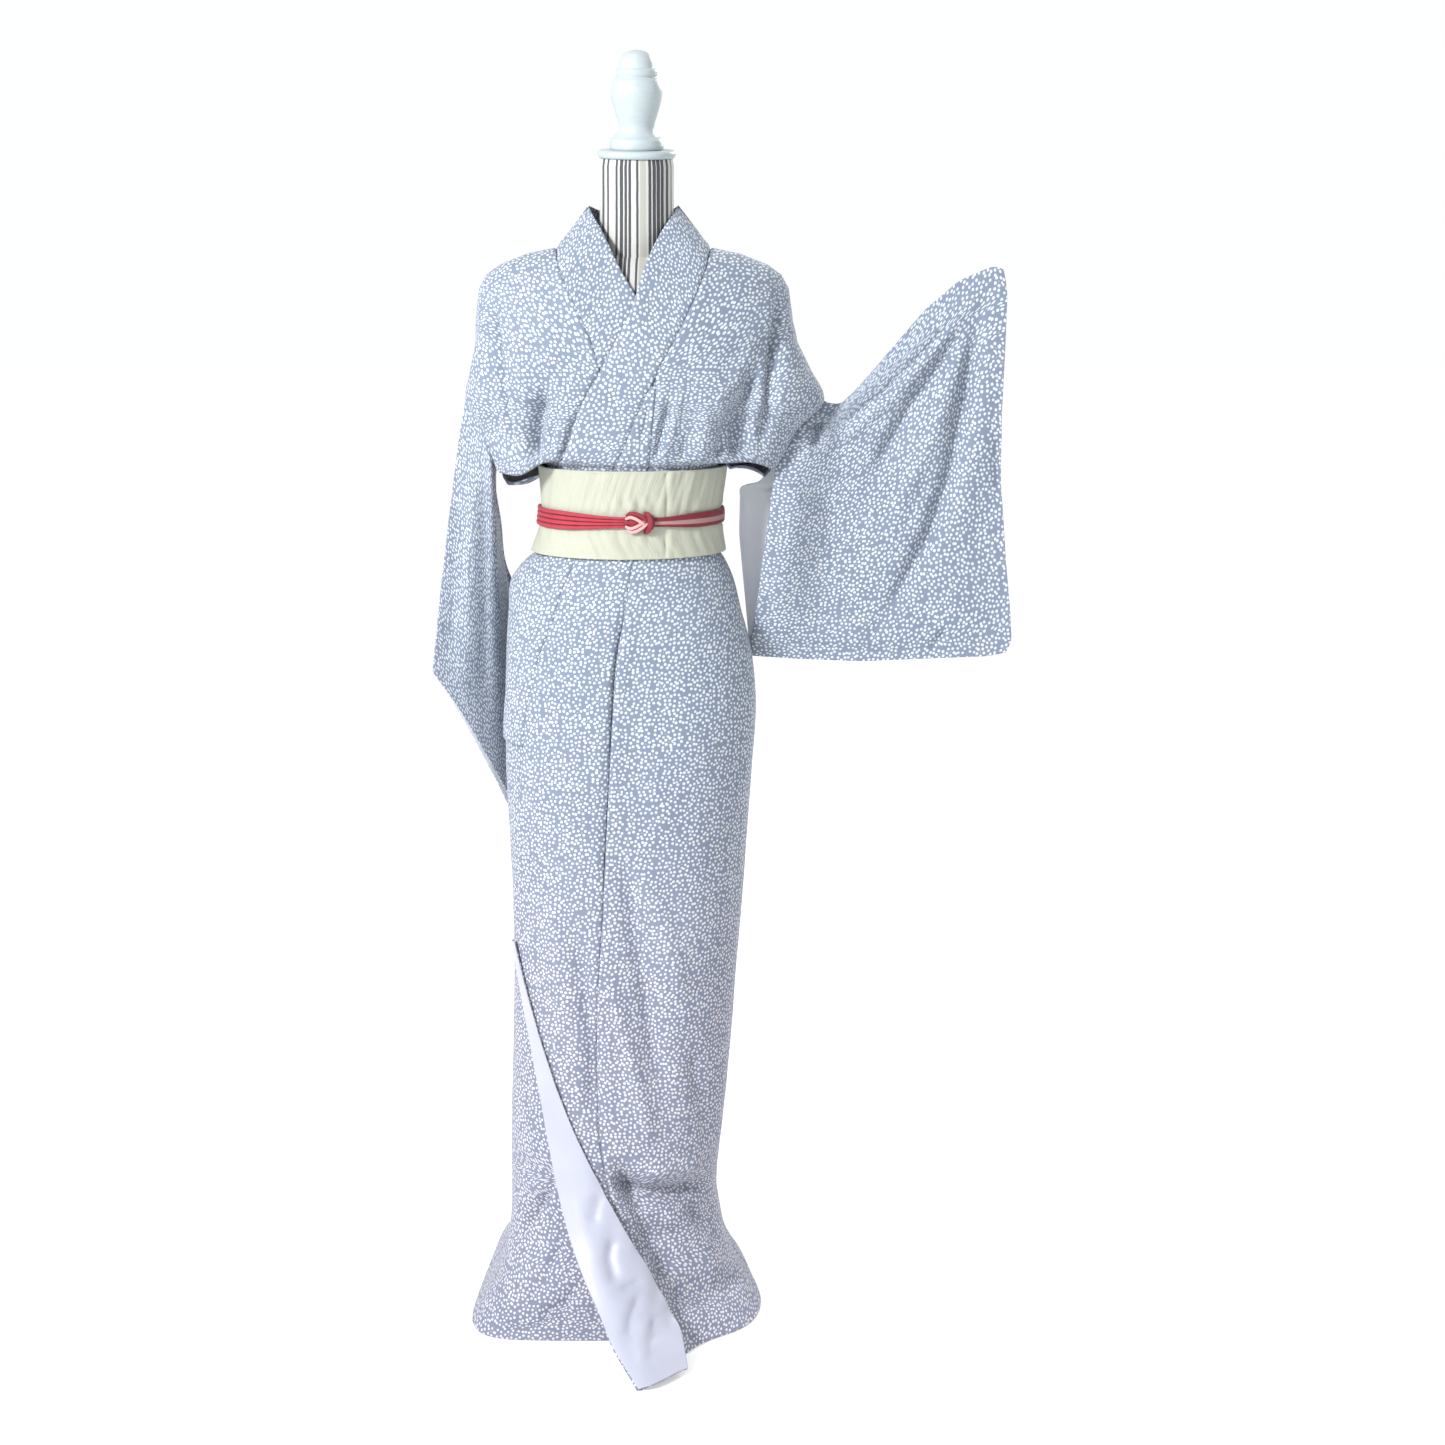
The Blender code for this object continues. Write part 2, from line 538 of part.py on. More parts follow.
def okumi(name, side, columns, upper, finish):
    """The overlap strip between its seam on the front panel and the collar seam."""
    seam = OKUMI_SEAM if upper else UNDER_OKUMI_SEAM
    grid = []
    for height in [ring.mid for ring in RINGS if ring.mid < 1.30]:
        ring = ring_at(height)
        gap = side * math.degrees(SEAM / 2 / ring.half)
        start = angle_at(ring, side * table_at(seam, height)) - gap
        end = angle_at(ring, side * okumi_edge(height, upper)) + gap
        grid.append([
            front_point(ring, mix(start, end, i / columns), 0.0, upper) for i in range(columns + 1)
        ])
    tip = grid.pop()
    grid.append([low.lerp(high, 0.5) for low, high in zip(grid[-1], tip)])
    return cloth(name, grid, finish)


def turned_corner():
    """Points of the okumi's lower corner, folded back over the upper front."""
    grid = []
    for height in panel_rows(RINGS[0].mid, TURN_TOP):
        row = []
        for i in range(4):
            x = mix(turned_at(height, "fold"), turned_at(height, "edge"), i / 3)
            low = 1 - step(height, 0.12, 0.25)
            swell = TURN_SWELL * math.sin(i * math.pi / 4)
            lift = CLOTH + REST + swell + low * (TURN_LIFT if i else FOLD_LIFT)
            away = facing(upper_surface, x, max(height, RINGS[1].mid))
            point = upper_surface(x, height) + away * lift
            point.y -= turned_at(height, "stand") * (i / 3) ** STAND_CURVE
            row.append(point)
        grid.append(row)
    return grid


def lining_on(name, grid, out, inset, finish):
    """A lining that lies on a grid of points, a little in from its sides."""
    rows = []
    for row in moved_out(grid, out):
        first = row[0].lerp(row[1], inset / (row[1] - row[0]).length)
        last = row[-1].lerp(row[-2], inset / (row[-2] - row[-1]).length)
        rows.append([first] + row[1:-1] + [last])
    return cloth(name, rows, finish, LINING_WALL)


def collar_edge(table, height):
    """Inner edge of a collar beside a ring height, read between the rows of its table."""
    for low, high in zip(table, table[1:]):
        if height <= high.height + 0.0005:
            share = min(1.0, max(0.0, (height - low.height) / (high.height - low.height)))
            free = high.edge_y is not None and (low.edge_y is not None or share > 0.95)
            depth = mix(low.edge_y or high.edge_y, high.edge_y, share) if free else None
            return mix(low.edge_x, high.edge_x, share), mix(low.edge_z, high.edge_z, share), depth


def collar_side(name, side, upper, finish):
    """A front stretch of the collar, from its end below the belt up to the shoulder line."""
    seam_table = COLLAR_SEAM if upper else UNDER_COLLAR_SEAM
    grid = []
    for height in panel_rows(COLLAR_END, RIDGE_MID):
        ring = ring_at(height)
        gap = side * math.degrees(SEAM / 2 / ring.half)
        seam = front_point(ring, angle_at(ring, side * table_at(seam_table, height)) - gap, 0.0, upper)
        edge_x, edge_z, edge_y = collar_edge(UPPER_COLLAR if upper else UNDER_COLLAR, height)
        if edge_y is None:
            row = [seam]
            for i in (1, 2, 3):
                x = mix(seam.x, side * edge_x, i / 3)
                if height < 1.20:
                    row.append(front_point(ring, angle_at(ring, x), 0.0, upper))
                else:
                    row.append(on_front(x, mix(seam.z, edge_z, i / 3), 0.0, upper))
        else:
            edge = Vector((side * edge_x, edge_y - (upper_out(ring, 0) if upper else 0), edge_z))
            near = seam.lerp(edge, COLLAR_GAP / (edge - seam).length)
            row = [near.lerp(edge, i / 3) for i in range(4)]
        grid.append(row)
    return cloth(name, grid, finish, COLLAR_WALL)


def collar_back(name, finish):
    grid = []
    sides = [(-1, row) for row in reversed(BACK_COLLAR)] + [(1, row) for row in BACK_COLLAR[1:]]
    for side, row in sides:
        ring = ring_at(DOME_BASE + (RIDGE_MID - DOME_BASE) * row.rise)
        angle = 180 - math.degrees(math.asin(row.seam / ring.half))
        seam = ring_point(ring, side * angle)
        edge = Vector((side * row.edge_x, row.edge_y, row.edge_z))
        near = seam.lerp(edge, SEAM / (edge - seam).length)
        grid.append([near.lerp(edge, i / 3) for i in range(4)])
    return cloth(name, grid, finish, COLLAR_WALL)


def hang_aside(index, top):
    """The way that the hanging sleeve's front wall faces in plan, at its upper or lower edge."""
    before, after = HANGING[max(index - 1, 0)], HANGING[min(index + 1, len(HANGING) - 1)]
    if not top:
        return Vector((after.y - before.y, before.x - after.x)).normalized()
    if HANGING[index].depth < 0.11:
        return Vector((0.0, -1.0))
    return Vector((after.back_y - before.back_y, before.top_x - after.top_x)).normalized()


def hanging_wall(name, face, finish):
    """A wall of the hanging sleeve: face is -1 for the front wall and +1 for the back wall."""
    grid = []
    for k in range(HANG_ROWS):
        drop = k / (HANG_ROWS - 1)
        reach = drop**0.85
        row = []
        for i, here in enumerate(HANGING):
            top_y = here.front_y if face < 0 else here.back_y
            plan = Vector((mix(here.top_x, here.x, reach), mix(top_y, here.y, reach)))
            room = step(here.depth, 0.0, 0.05) * (1 - step(here.depth, 0.29, 0.34))
            room *= 1 - step(drop, 0.80, 1.0) * step(here.depth, 0.17, 0.22)
            if 0.09 < here.depth < 0.15:
                room *= mix(0.1, 1.0, reach)
            apart = CLOTH / 2 + REST / 2 + HANG_ROOM * room
            aside = hang_aside(i, True).lerp(hang_aside(i, False), reach) * (-face) * apart
            height = mix(here.top, here.bottom, drop) - HANG_TOP_GAP * (1 - drop)
            row.append(Vector((plan.x + aside.x, plan.y + aside.y, height)))
        grid.append(row)
    return cloth(name, grid, finish)


def spread_point(u, v, face, edge):
    """A point of the spread sleeve: u runs from the armhole to the cuff, v from the top fold down."""
    top, bottom = along(SPREAD_TOP, u), along(SPREAD_BOTTOM, u)
    near, far = along(edge, v), along(SPREAD_CUFF, v)
    corners = (
        Vector(SPREAD_TOP[0]) * (1 - u) * (1 - v)
        + Vector(SPREAD_TOP[-1]) * u * (1 - v)
        + Vector(SPREAD_BOTTOM[0]) * (1 - u) * v
        + Vector(SPREAD_BOTTOM[-1]) * u * v
    )
    flat = top * (1 - v) + bottom * v + near * (1 - u) + far * u - corners
    body = table_at(SPREAD_ROOM, v) * (1 - step(u, 0.0, 0.30))
    open_cuff = CUFF_ROOM * step(v, 0.0, 0.08) * (1 - step(v, 0.40, 0.52) * step(u, 0.75, 1.0))
    room = body + open_cuff * (1 - step(v, 0.90, 1.0)) * step(u, 0.0, 0.1)
    half = CLOTH / 2 + REST / 2 + room
    moved = relief(flat.x, flat.y, SPREAD_FOLDS) * step(v, 0.02, 0.12) * (1 - step(v, 0.92, 1.0))
    return Vector((flat.x, -SPREAD_BACK * step(u, 0.0, 0.2) + face * half - moved, flat.y))


def spread_grid(face, edge):
    return [
        [
            spread_point(mix(SPREAD_START, 1, j / SPREAD_COLUMNS), i / SPREAD_ROWS, face, edge)
            for j in range(SPREAD_COLUMNS + 1)
        ]
        for i in range(SPREAD_ROWS + 1)
    ]


def obi_out():
    """Middle of the obi outside the rings, clear of the collar under it."""
    return LAYER + COLLAR_WALL / 2 + REST + OBI_EASE + OBI_WALL / 2


def obi(name, finish):
    """The stiff band round the waist; its outer end lies over its start at the back."""
    grid = []
    for level in OBI_LEVELS:
        ring = ring_at(level)
        row = []
        for i in range(OBI_COLUMNS + 1):
            turned = OBI_TURN * i / OBI_COLUMNS
            lap = OBI_LAP * step(turned, OBI_TURN - 42, OBI_TURN - 22)
            row.append(ring_point(ring, 174 - turned, obi_out() + lap))
        grid.append(row)
    return cloth(name, grid, finish, OBI_WALL)


def tube(name, points, radius, finish):
    """A cord along the points."""
    curve = bpy.data.curves.new(name, "CURVE")
    curve.dimensions = "3D"
    curve.bevel_depth = radius
    curve.bevel_resolution = 2
    curve.use_fill_caps = True
    spline = curve.splines.new("POLY")
    spline.points.add(len(points) - 1)
    for target, point in zip(spline.points, points):
        target.co = (*point, 1.0)
    return add_object(name, curve, finish)


def round_obi(height, degrees, out):
    """A point at a distance outside the obi's outer face."""
    return ring_point(ring_at(height), degrees, obi_out() + OBI_WALL / 2 + out)


def cord_strand(index, finish):
    """One of the strands that run from the knot round the wearer's right side."""
    spread = (index - 1.5) * 2 * (CORD_STRAND + REST / 2)
    points = []
    for i in range(13):
        share = i / 12
        height = CORD_HEIGHT - spread * mix(0.95, 1.0, step(share, 0.0, 0.3))
        points.append(round_obi(height, mix(KNOT_AT - KNOT_ROOM, -94, share), CORD_STRAND + REST))
    return tube(f"cord_strand_{index + 1}", points, CORD_STRAND, finish)


def cord_band(name, start, end, columns, finish):
    """A flat stretch of the doubled cord."""
    grid = []
    for level in (-CORD_HALF, -CORD_HALF / 3, CORD_HALF / 3, CORD_HALF):
        row = []
        for i in range(columns + 1):
            degrees = mix(start, end, i / columns)
            lap = OBI_LAP * step(degrees, 140, 160) * (1 - step(degrees, 206, 226))
            row.append(round_obi(CORD_HEIGHT + level, degrees, REST + CORD_THICK / 2 + lap))
        grid.append(row)
    return cloth(name, grid, finish, CORD_THICK)


def cord_knot(name, finish):
    """The flat knot at the front, a rounded pad as wide as its crossing strands."""
    shape = bmesh.new()
    bmesh.ops.create_uvsphere(shape, u_segments=14, v_segments=8, radius=1.0)
    centre = round_obi(CORD_HEIGHT, KNOT_AT, KNOT_OUT)
    for vert in shape.verts:
        vert.co = centre + vert.co * KNOT_SIZE
    mesh = bpy.data.meshes.new(name)
    shape.to_mesh(mesh)
    shape.free()
    mesh.shade_smooth()
    return add_object(name, mesh, finish)


def turned(name, profile, finish, steps=24):
    """A turned piece: the profile runs down its outer side from the axis to the axis."""
    shape = bmesh.new()
    verts = [shape.verts.new((radius, 0, height)) for radius, height in profile]
    for a, b in zip(verts, verts[1:]):
        shape.edges.new((a, b))
    mesh = bpy.data.meshes.new(name)
    shape.to_mesh(mesh)
    shape.free()
    made = add_object(name, mesh, finish)
    screw = made.modifiers.new("turn", "SCREW")
    screw.steps = steps
    screw.render_steps = steps
    screw.use_merge_vertices = True
    screw.merge_threshold = 0.00001
    screw.use_smooth_shade = True
    return made


def neck_lean():
    """The turn that brings an upright axis onto the leaning neck."""
    return (NECK_TOP - NECK_FOOT).to_track_quat("Z", "Y")


def finial(finish):
    """The turned wooden finial on the cap disc."""
    profile = [(0.0, 0.1235), (0.0110, 0.1215), (0.0180, 0.1165), (0.0215, 0.1100), (0.0225, 0.1050),
               (0.0235, 0.1010), (0.0262, 0.0990), (0.0265, 0.0925), (0.0255, 0.0905),
               (0.0290, 0.0870), (0.0325, 0.0780), (0.0330, 0.0690), (0.0310, 0.0580),
               (0.0270, 0.0440), (0.0235, 0.0330), (0.0230, 0.0270), (0.0250, 0.0210),
               (0.0285, 0.0165), (0.0330, 0.0130), (0.0345, 0.0085), (0.0345, 0.0003), (0.0, 0.0003)]
    made = turned("form_finial", profile, finish)
    made.rotation_mode = "QUATERNION"
    made.rotation_quaternion = neck_lean()
    made.location = NECK_TOP + made.rotation_quaternion @ Vector((0, 0, 0.0106))
    return made


def neck_disc(finish):
    """The wooden disc that caps the neck."""
    profile = [(0.0, 0.0103), (0.0470, 0.0103), (0.0500, 0.0090), (0.0512, 0.0060), (0.0500, 0.0025),
               (0.0485, 0.0004), (0.0, 0.0004)]
    made = turned("form_neck_disc", profile, finish)
    made.rotation_mode = "QUATERNION"
    made.rotation_quaternion = neck_lean()
    made.location = NECK_TOP
    return made


# Covered torso below the shoulders: height, half width, depth
TORSO = ((0.780, 0.040, 0.040), (0.782, 0.110, 0.082), (0.800, 0.124, 0.092), (0.860, 0.136, 0.100),
         (0.930, 0.140, 0.102), (1.000, 0.130, 0.097), (1.060, 0.106, 0.090), (1.110, 0.098, 0.085),
         (1.160, 0.104, 0.088), (1.210, 0.122, 0.094), (1.260, 0.148, 0.100), (1.300, 0.172, 0.104))
TORSO_SEGMENTS, NECK_SEGMENTS = 32, 28
TORSO_HALF, TORSO_DEPTH = 0.190, 0.107
TORSO_RIDGE = ((0.000, 1.4560), (0.070, 1.4540), (0.105, 1.4520), (0.140, 1.4450), (0.176, 1.4300),
               (0.190, 1.4100), (0.200, 1.3700))
SEAT = 0.0013  # the shoulders of the form below the middle of the cloth that rests on them


def torso(finish):
    """The smooth covered torso: its shoulders carry the kimono, and the neck rises out of it."""
    grid = []
    for height, half, depth in TORSO:
        ring = Ring(height, height, 0.0, half, depth, depth, 2.1, 0)
        grid.append([ring_point(ring, 360 * i / TORSO_SEGMENTS) for i in range(TORSO_SEGMENTS)])
    for rise in (0.0, 0.25, 0.48, 0.66, 0.80, 0.91, 0.98):
        depth = TORSO_DEPTH * math.sqrt(1 - rise * rise)
        ring = Ring(DOME_BASE, DOME_BASE, 0.0, TORSO_HALF - 0.008 * rise, depth, depth, 2.0, 0)
        row = []
        for i in range(TORSO_SEGMENTS):
            point = ring_point(ring, 360 * i / TORSO_SEGMENTS)
            top = table_at(TORSO_RIDGE, abs(point.x)) - SEAT - DOME_BASE
            row.append(Vector((point.x, point.y, DOME_BASE + rise * top)))
        grid.append(row)
    mesh = grid_mesh("form_torso", grid, close_rows=True, cap_ends=True, ridge=True)
    body = add_object("form_torso", mesh, finish)
    neck_grid = []
    for share in (0.0, 0.25, 0.5, 0.75, 0.9, 1.0):
        centre = NECK_FOOT.lerp(NECK_TOP, share)
        radius = NECK_RADIUS + 0.010 * (1 - share) ** 3
        row = []
        for i in range(NECK_SEGMENTS):
            angle = 2 * math.pi * i / NECK_SEGMENTS
            row.append(centre + neck_lean() @ Vector((math.sin(angle), -math.cos(angle), 0)) * radius)
        neck_grid.append(row)
    neck = add_object("neck_to_join", grid_mesh("neck_to_join", neck_grid, True, True), finish)
    neck.hide_render = True
    neck.display_type = "WIRE"
    join = body.modifiers.new("neck", "BOOLEAN")
    join.operation = "UNION"
    join.object = neck
    return body


def pole(finish):
    low, high = FOOT_HEIGHT + 0.0004, TORSO[0][0] - 0.0004
    profile = [(0.0, high), (POLE_RADIUS, high), (POLE_RADIUS, low), (0.0, low)]
    return turned("form_pole", profile, finish, 16)


def foot(finish):
    profile = [(0.0, FOOT_HEIGHT), (0.026, FOOT_HEIGHT), (0.050, 0.018), (FOOT_RADIUS - 0.006, 0.013),
               (FOOT_RADIUS, 0.009), (FOOT_RADIUS, 0.0), (0.0, 0.0)]
    return turned("form_foot", profile, finish, 32)


def build_form():
    wood = material("painted_wood", (0.64, 0.70, 0.73), 0.42)
    ticking = material("striped_ticking", (0.80, 0.79, 0.74), 0.85)
    steel = material("painted_steel", (0.75, 0.75, 0.75), 0.35, 0.6)
    finial(wood)
    neck_disc(wood)
    torso(ticking)
    pole(steel)
    foot(wood)


def build_kimono():
    crepe = material("blossom_crepe", (0.43, 0.49, 0.60), 0.80)
    lavender = material("hakkake_lining", (0.72, 0.75, 0.86), 0.60)
    pale = material("sleeve_lining", (0.52, 0.57, 0.65), 0.65)
    for side, hand in ((1, "left"), (-1, "right")):
        for skirt, part in ((True, "skirt"), (False, "body")):
            back_panel(f"{hand}_{part}_back", side, 8, skirt, crepe)
            front_panel(f"{hand}_{part}_front", side, 9, side > 0, skirt, crepe)
    okumi("left_okumi", 1, 4, True, crepe)
    okumi("right_okumi", -1, 4, False, crepe)
    corner = turned_corner()
    cloth("left_okumi_turned", corner, crepe)
    lining_on("hakkake_lining", corner, CLOTH / 2 + REST + LINING_WALL / 2, 0.0008, lavender)
    collar_side("left_collar", 1, True, crepe)
    collar_side("right_collar", -1, False, crepe)
    collar_back("back_collar", crepe)
    cloth("left_sleeve_front", spread_grid(-1, SPREAD_FRONT_EDGE), crepe)
    back_wall = spread_grid(1, SPREAD_BACK_EDGE)
    cloth("left_sleeve_back", back_wall, crepe)
    inside = [row[:4] for row in back_wall[3:-1]]
    lining_on("left_sleeve_lining", inside, -(CLOTH / 2 + REST + LINING_WALL / 2), 0.001, pale)
    hanging_wall("right_sleeve_front", -1, crepe)
    hanging_wall("right_sleeve_back", 1, crepe)


def build_belt():
    satin = material("obi_crepe", (0.80, 0.84, 0.76), 0.55)
    red = material("red_cord", (0.55, 0.07, 0.10), 0.50)
    obi("obi", satin)
    for index in range(4):
        cord_strand(index, red)
    cord_band("cord_right", KNOT_AT + BAND_ROOM, 94, 12, red)
    cord_band("cord_back", 95, 265, 20, red)
    cord_knot("cord_knot", red)


def main():
    for old in list(bpy.data.objects):
        bpy.data.objects.remove(old, do_unlink=True)
    group = bpy.data.collections.new("kimono_on_dress_form")
    bpy.context.scene.collection.children.link(group)
    build_form()
    build_kimono()
    build_belt()


main()
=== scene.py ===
"""Looks of a woman's kimono with its obi and cord on a dress form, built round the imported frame.

The worn cloth is made again here at a finer size than the frame's, from the same family of rings.
"""

import math
from collections import namedtuple

import bpy
import numpy as np
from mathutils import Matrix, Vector


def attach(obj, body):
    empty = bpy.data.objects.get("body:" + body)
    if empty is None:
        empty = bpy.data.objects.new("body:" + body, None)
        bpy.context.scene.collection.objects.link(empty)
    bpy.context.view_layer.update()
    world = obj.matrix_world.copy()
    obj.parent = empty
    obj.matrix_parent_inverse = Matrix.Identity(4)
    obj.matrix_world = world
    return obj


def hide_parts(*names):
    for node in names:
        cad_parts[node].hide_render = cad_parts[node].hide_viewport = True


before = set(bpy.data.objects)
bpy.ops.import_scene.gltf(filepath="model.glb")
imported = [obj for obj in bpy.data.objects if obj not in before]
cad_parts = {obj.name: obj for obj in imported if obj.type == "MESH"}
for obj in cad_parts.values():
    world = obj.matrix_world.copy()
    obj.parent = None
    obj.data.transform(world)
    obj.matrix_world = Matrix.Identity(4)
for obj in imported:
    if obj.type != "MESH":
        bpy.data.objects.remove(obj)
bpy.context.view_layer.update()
TAU = 2 * math.pi


def metres(*rows):
    """The rows of a table that is written in millimetres."""
    return [tuple(value / 1000 for value in row) for row in rows]


# Cloth
CLOTH = 0.0016  # wall of the lined cloth
COLLAR_WALL = 0.0020
OBI_WALL = 0.0040
LINING_WALL = 0.0010
SEAM = 0.0007  # between the middles of two edges that are sewn together
COLLAR_GAP = 0.0011  # the same along the free part of the collar
REST = 0.0004  # between the faces of a piece and what it lies on
LAYER = 0.0046  # how far the upper front lies outside the under front
# Where it comes down to the rings: between these degrees at its side, these heights at the shoulder
LAYER_SIDE, LAYER_SHOULDER = (62, 90), (1.370, 1.480)
# Heights between which the bodice starts to bulge over the obi, and between which that ends
POUCH_FROM, POUCH_TO = (1.174, 1.181), (1.20, 1.25)

# Where the parts of the dress form are
NECK_RADIUS = 0.0485
NECK_FOOT = Vector((0.003, 0.012, 1.330))
NECK_TOP = Vector((0.0055, -0.014, 1.5665))
POLE_RADIUS = 0.0125
FOOT_RADIUS = 0.105
FOOT_HEIGHT = 0.022

# One ring of the worn cloth. mid and side are its heights at the front and at the side seams, centre
# and half give its place and half width, front and back its depths, square how boxy it is, and dome
# how far it has climbed from DOME_BASE to the shoulder line.
Ring = namedtuple("Ring", "mid side centre half front back square dome")
DOME_BASE = 1.330
DOME_HALF, DOME_FRONT, DOME_BACK = 0.2095, 0.1165, 0.112
RIDGE_MID = 1.510  # height of the shoulder line carried on to the middle of the neck
RISES = (0.0, 0.25, 0.48, 0.66, 0.80, 0.91, 0.98, 1.0)  # dome of each ring above DOME_BASE

RINGS = [Ring(*(value / 1000 for value in row), square, 0) for *row, square in (
    (1.8, 1.8, -35, 189, 217, 196, 3.3), (12, 12, -35, 181, 206, 187, 3.2),
    (34, 34, -35, 166.5, 185, 171, 3.0), (64, 64, -36, 155.5, 163, 154, 2.7),
    (98, 98, -37, 149.5, 147, 140, 2.5), (135, 135, -39, 146.5, 137, 131, 2.4),
    (180, 180, -38, 147, 133, 128, 2.3), (240, 240, -34, 150, 132, 127, 2.3),
    (310, 310, -29, 152, 131, 126, 2.3), (390, 390, -24, 154, 130, 126, 2.3),
    (470, 470, -20, 155.5, 129, 125, 2.3), (560, 560, -16, 159, 128, 125, 2.3),
    (660, 660, -14, 164, 128, 126, 2.3), (760, 760, -12, 169, 129, 128, 2.3),
    (850, 850, -9, 171, 129, 130, 2.3), (920, 920, -11, 166, 125, 128, 2.2),
    (975, 975, -16, 157, 120, 122, 2.2), (1015, 1015, -19, 150, 114, 116, 2.1),
    (1040, 1040, -15, 135, 107, 109, 2.0), (1056, 1056, -10, 120.5, 101, 102, 2.0),
    (1085, 1085, -7, 112.5, 98, 97, 2.0), (1110, 1110, -6, 110.5, 97.5, 96, 2.0),
    (1145, 1145, -4, 113.5, 98.5, 98, 2.0), (1174, 1174, -3, 116.5, 100, 100, 2.0),
    (1181, 1182, -2, 138, 104, 105, 2.0), (1188, 1173, -1, 164, 108, 108, 2.0),
    (1198, 1162, 0, 186, 111, 110, 2.0), (1209, 1176, 2, 196, 113, 111, 2.0),
    (1236, 1216, 6, 212, 118, 113, 2.0), (1262, 1255, 13.5, 238.5, 120, 114, 2.0),
    (1296, 1294, 8, 226, 119, 114, 2.0),
)] + [
    Ring(
        DOME_BASE + (RIDGE_MID - DOME_BASE) * rise,
        DOME_BASE,
        0.003 * (1 - rise),
        DOME_HALF + 0.004 * (1 - rise),
        DOME_FRONT * math.sqrt(1 - rise * rise),
        DOME_BACK * math.sqrt(1 - rise * rise),
        2.0,
        rise,
    )
    for rise in RISES
]

# By ring height: how much wider the hem is towards the front than towards the back on the wearer's
# left and right, and how much squarer it is on the right
LEFT_TAPER = ((0.0018, 0.20), (0.034, 0.14), (0.098, 0.03), (0.135, 0.0), (1.600, 0.0))
RIGHT_TAPER = ((0.0018, 0.075), (0.034, 0.055), (0.098, 0.02), (0.135, 0.0), (1.600, 0.0))
RIGHT_CORNER = ((0.0018, 1.9), (0.034, 1.4), (0.064, 1.15), (0.098, 1.0), (1.600, 1.0))

# Shoulder line, from the middle out: distance from the middle, height
RIDGE = metres(
    (0, 1510), (57, 1490), (101, 1453), (140, 1445), (176, 1431), (194, 1418), (204, 1400),
    (209.5, 1360),
)

# Edge of the body panels at the side, by ring height: side seam, open underarm, armhole
ARMHOLE = ((0.000, 90.0), (1.174, 90.0), (1.181, 86.0), (1.188, 81.0), (1.198, 77.0), (1.209, 76.0),
           (1.236, 81.0), (1.262, 90.0), (1.600, 90.0))

# Seams of the upper side, by ring height: distance from the middle as seen from the front
OKUMI_SEAM = metres(
    (0, 48), (35, 30), (67, 15), (100, -5), (145, -25), (205, -40), (250, -49), (350, -57), (450, -53),
    (550, -45), (700, -38), (790, -32), (917, -24), (1049, -1), (1176, 21), (1262, 31), (1296, 33.8),
)
COLLAR_SEAM = metres(
    (784, -151), (885, -137), (941, -118), (974, -104), (1015, -92), (1050, -76), (1110, -49),
    (1176, -22), (1217, -4), (1250, 11), (1284, 27), (1316, 45), (1343, 58), (1384, 75), (1431, 89),
    (1470, 97), (1510, 101.5),
)
# The same seams of the under side, mirrored; below the obi they are hidden and lie further in
UNDER_OKUMI_SEAM = metres(
    (0, -60), (350, -50), (790, -30), (917, -22), (1049, 0), (1176, 21), (1262, 33), (1296, 38.5),
)
UNDER_COLLAR_SEAM = metres(
    (784, -108), (885, -100), (974, -84), (1050, -64), (1110, -43), (1176, -19), (1217, -2), (1250, 16),
    (1284, 34), (1316, 46), (1343, 53), (1384, 70), (1431, 85), (1470, 96), (1510, 101.5),
)
SIDE_GAP = 0.001  # degrees from the front panel's side edge to the back panel's
OKUMI_POINT = 1.290  # where both okumi end in a point on the collar seam
UNDER_HIDDEN_EDGE = 0.108
COLLAR_END = 0.800

# Neckline on the back, by how far the ring has climbed: distance from the middle
BACK_NECK = ((0.00, 0.000), (0.60, 0.000), (0.66, 0.040), (0.80, 0.082), (0.91, 0.096), (1.00, 0.1015))

# Turned corner of the upper front, by height: its fold, its free edge, how far the cloth there is
# pulled forward of the rings, and how far its free edge stands off the cloth behind it
Turn = namedtuple("Turn", "height fold edge pull stand")
TURNED = [Turn(*row) for row in metres(
    (0, 8, 65, 128, 46), (35, -29, 52, 106, 30), (67, -50, 32, 88, 18), (100, -71, 9, 70, 9),
    (145, -91, -20, 50, 3), (205, -108, -50, 28, 0), (250, -117, -73, 17, 0), (331, -132, -107, 5, 0),
    (427, -149, -137, 0, 0), (480, -160, -151, 0, 0), (540, -169, -166, 0, 0),
)]
TURN_TOP = 0.520
STAND_CURVE = 1.4
# How far aside the corner pulls the hem, and how much further higher up
PULL_REACH, PULL_SPREAD = 0.055, 0.50
TURN_SWELL = 0.0025  # how much the turned corner stands off the cloth under it
TURN_LIFT, FOLD_LIFT = 0.0045, 0.0008  # and how much more near the floor, and at its fold there
TURN_LOW = (0.12, 0.25)  # heights between which that fades away

# Inner edge of the collar. Rows run from the middle of the back over the shoulder to the front: the
# outer seam's ring height and distance, then the inner edge. On the chest the edge lies on the rings.
NeckRow = namedtuple("NeckRow", "rise seam edge_x edge_y edge_z")
BACK_COLLAR = [
    NeckRow(0.60, 0.000, 0.000, 0.072, 1.494),
    NeckRow(0.63, 0.024, 0.018, 0.070, 1.495),
    NeckRow(0.70, 0.055, 0.036, 0.060, 1.499),
    NeckRow(0.80, 0.082, 0.049, 0.043, 1.503),
    NeckRow(0.91, 0.096, 0.056, 0.024, 1.506),
    NeckRow(0.99, 0.1013, 0.0585, 0.004, 1.507),
]
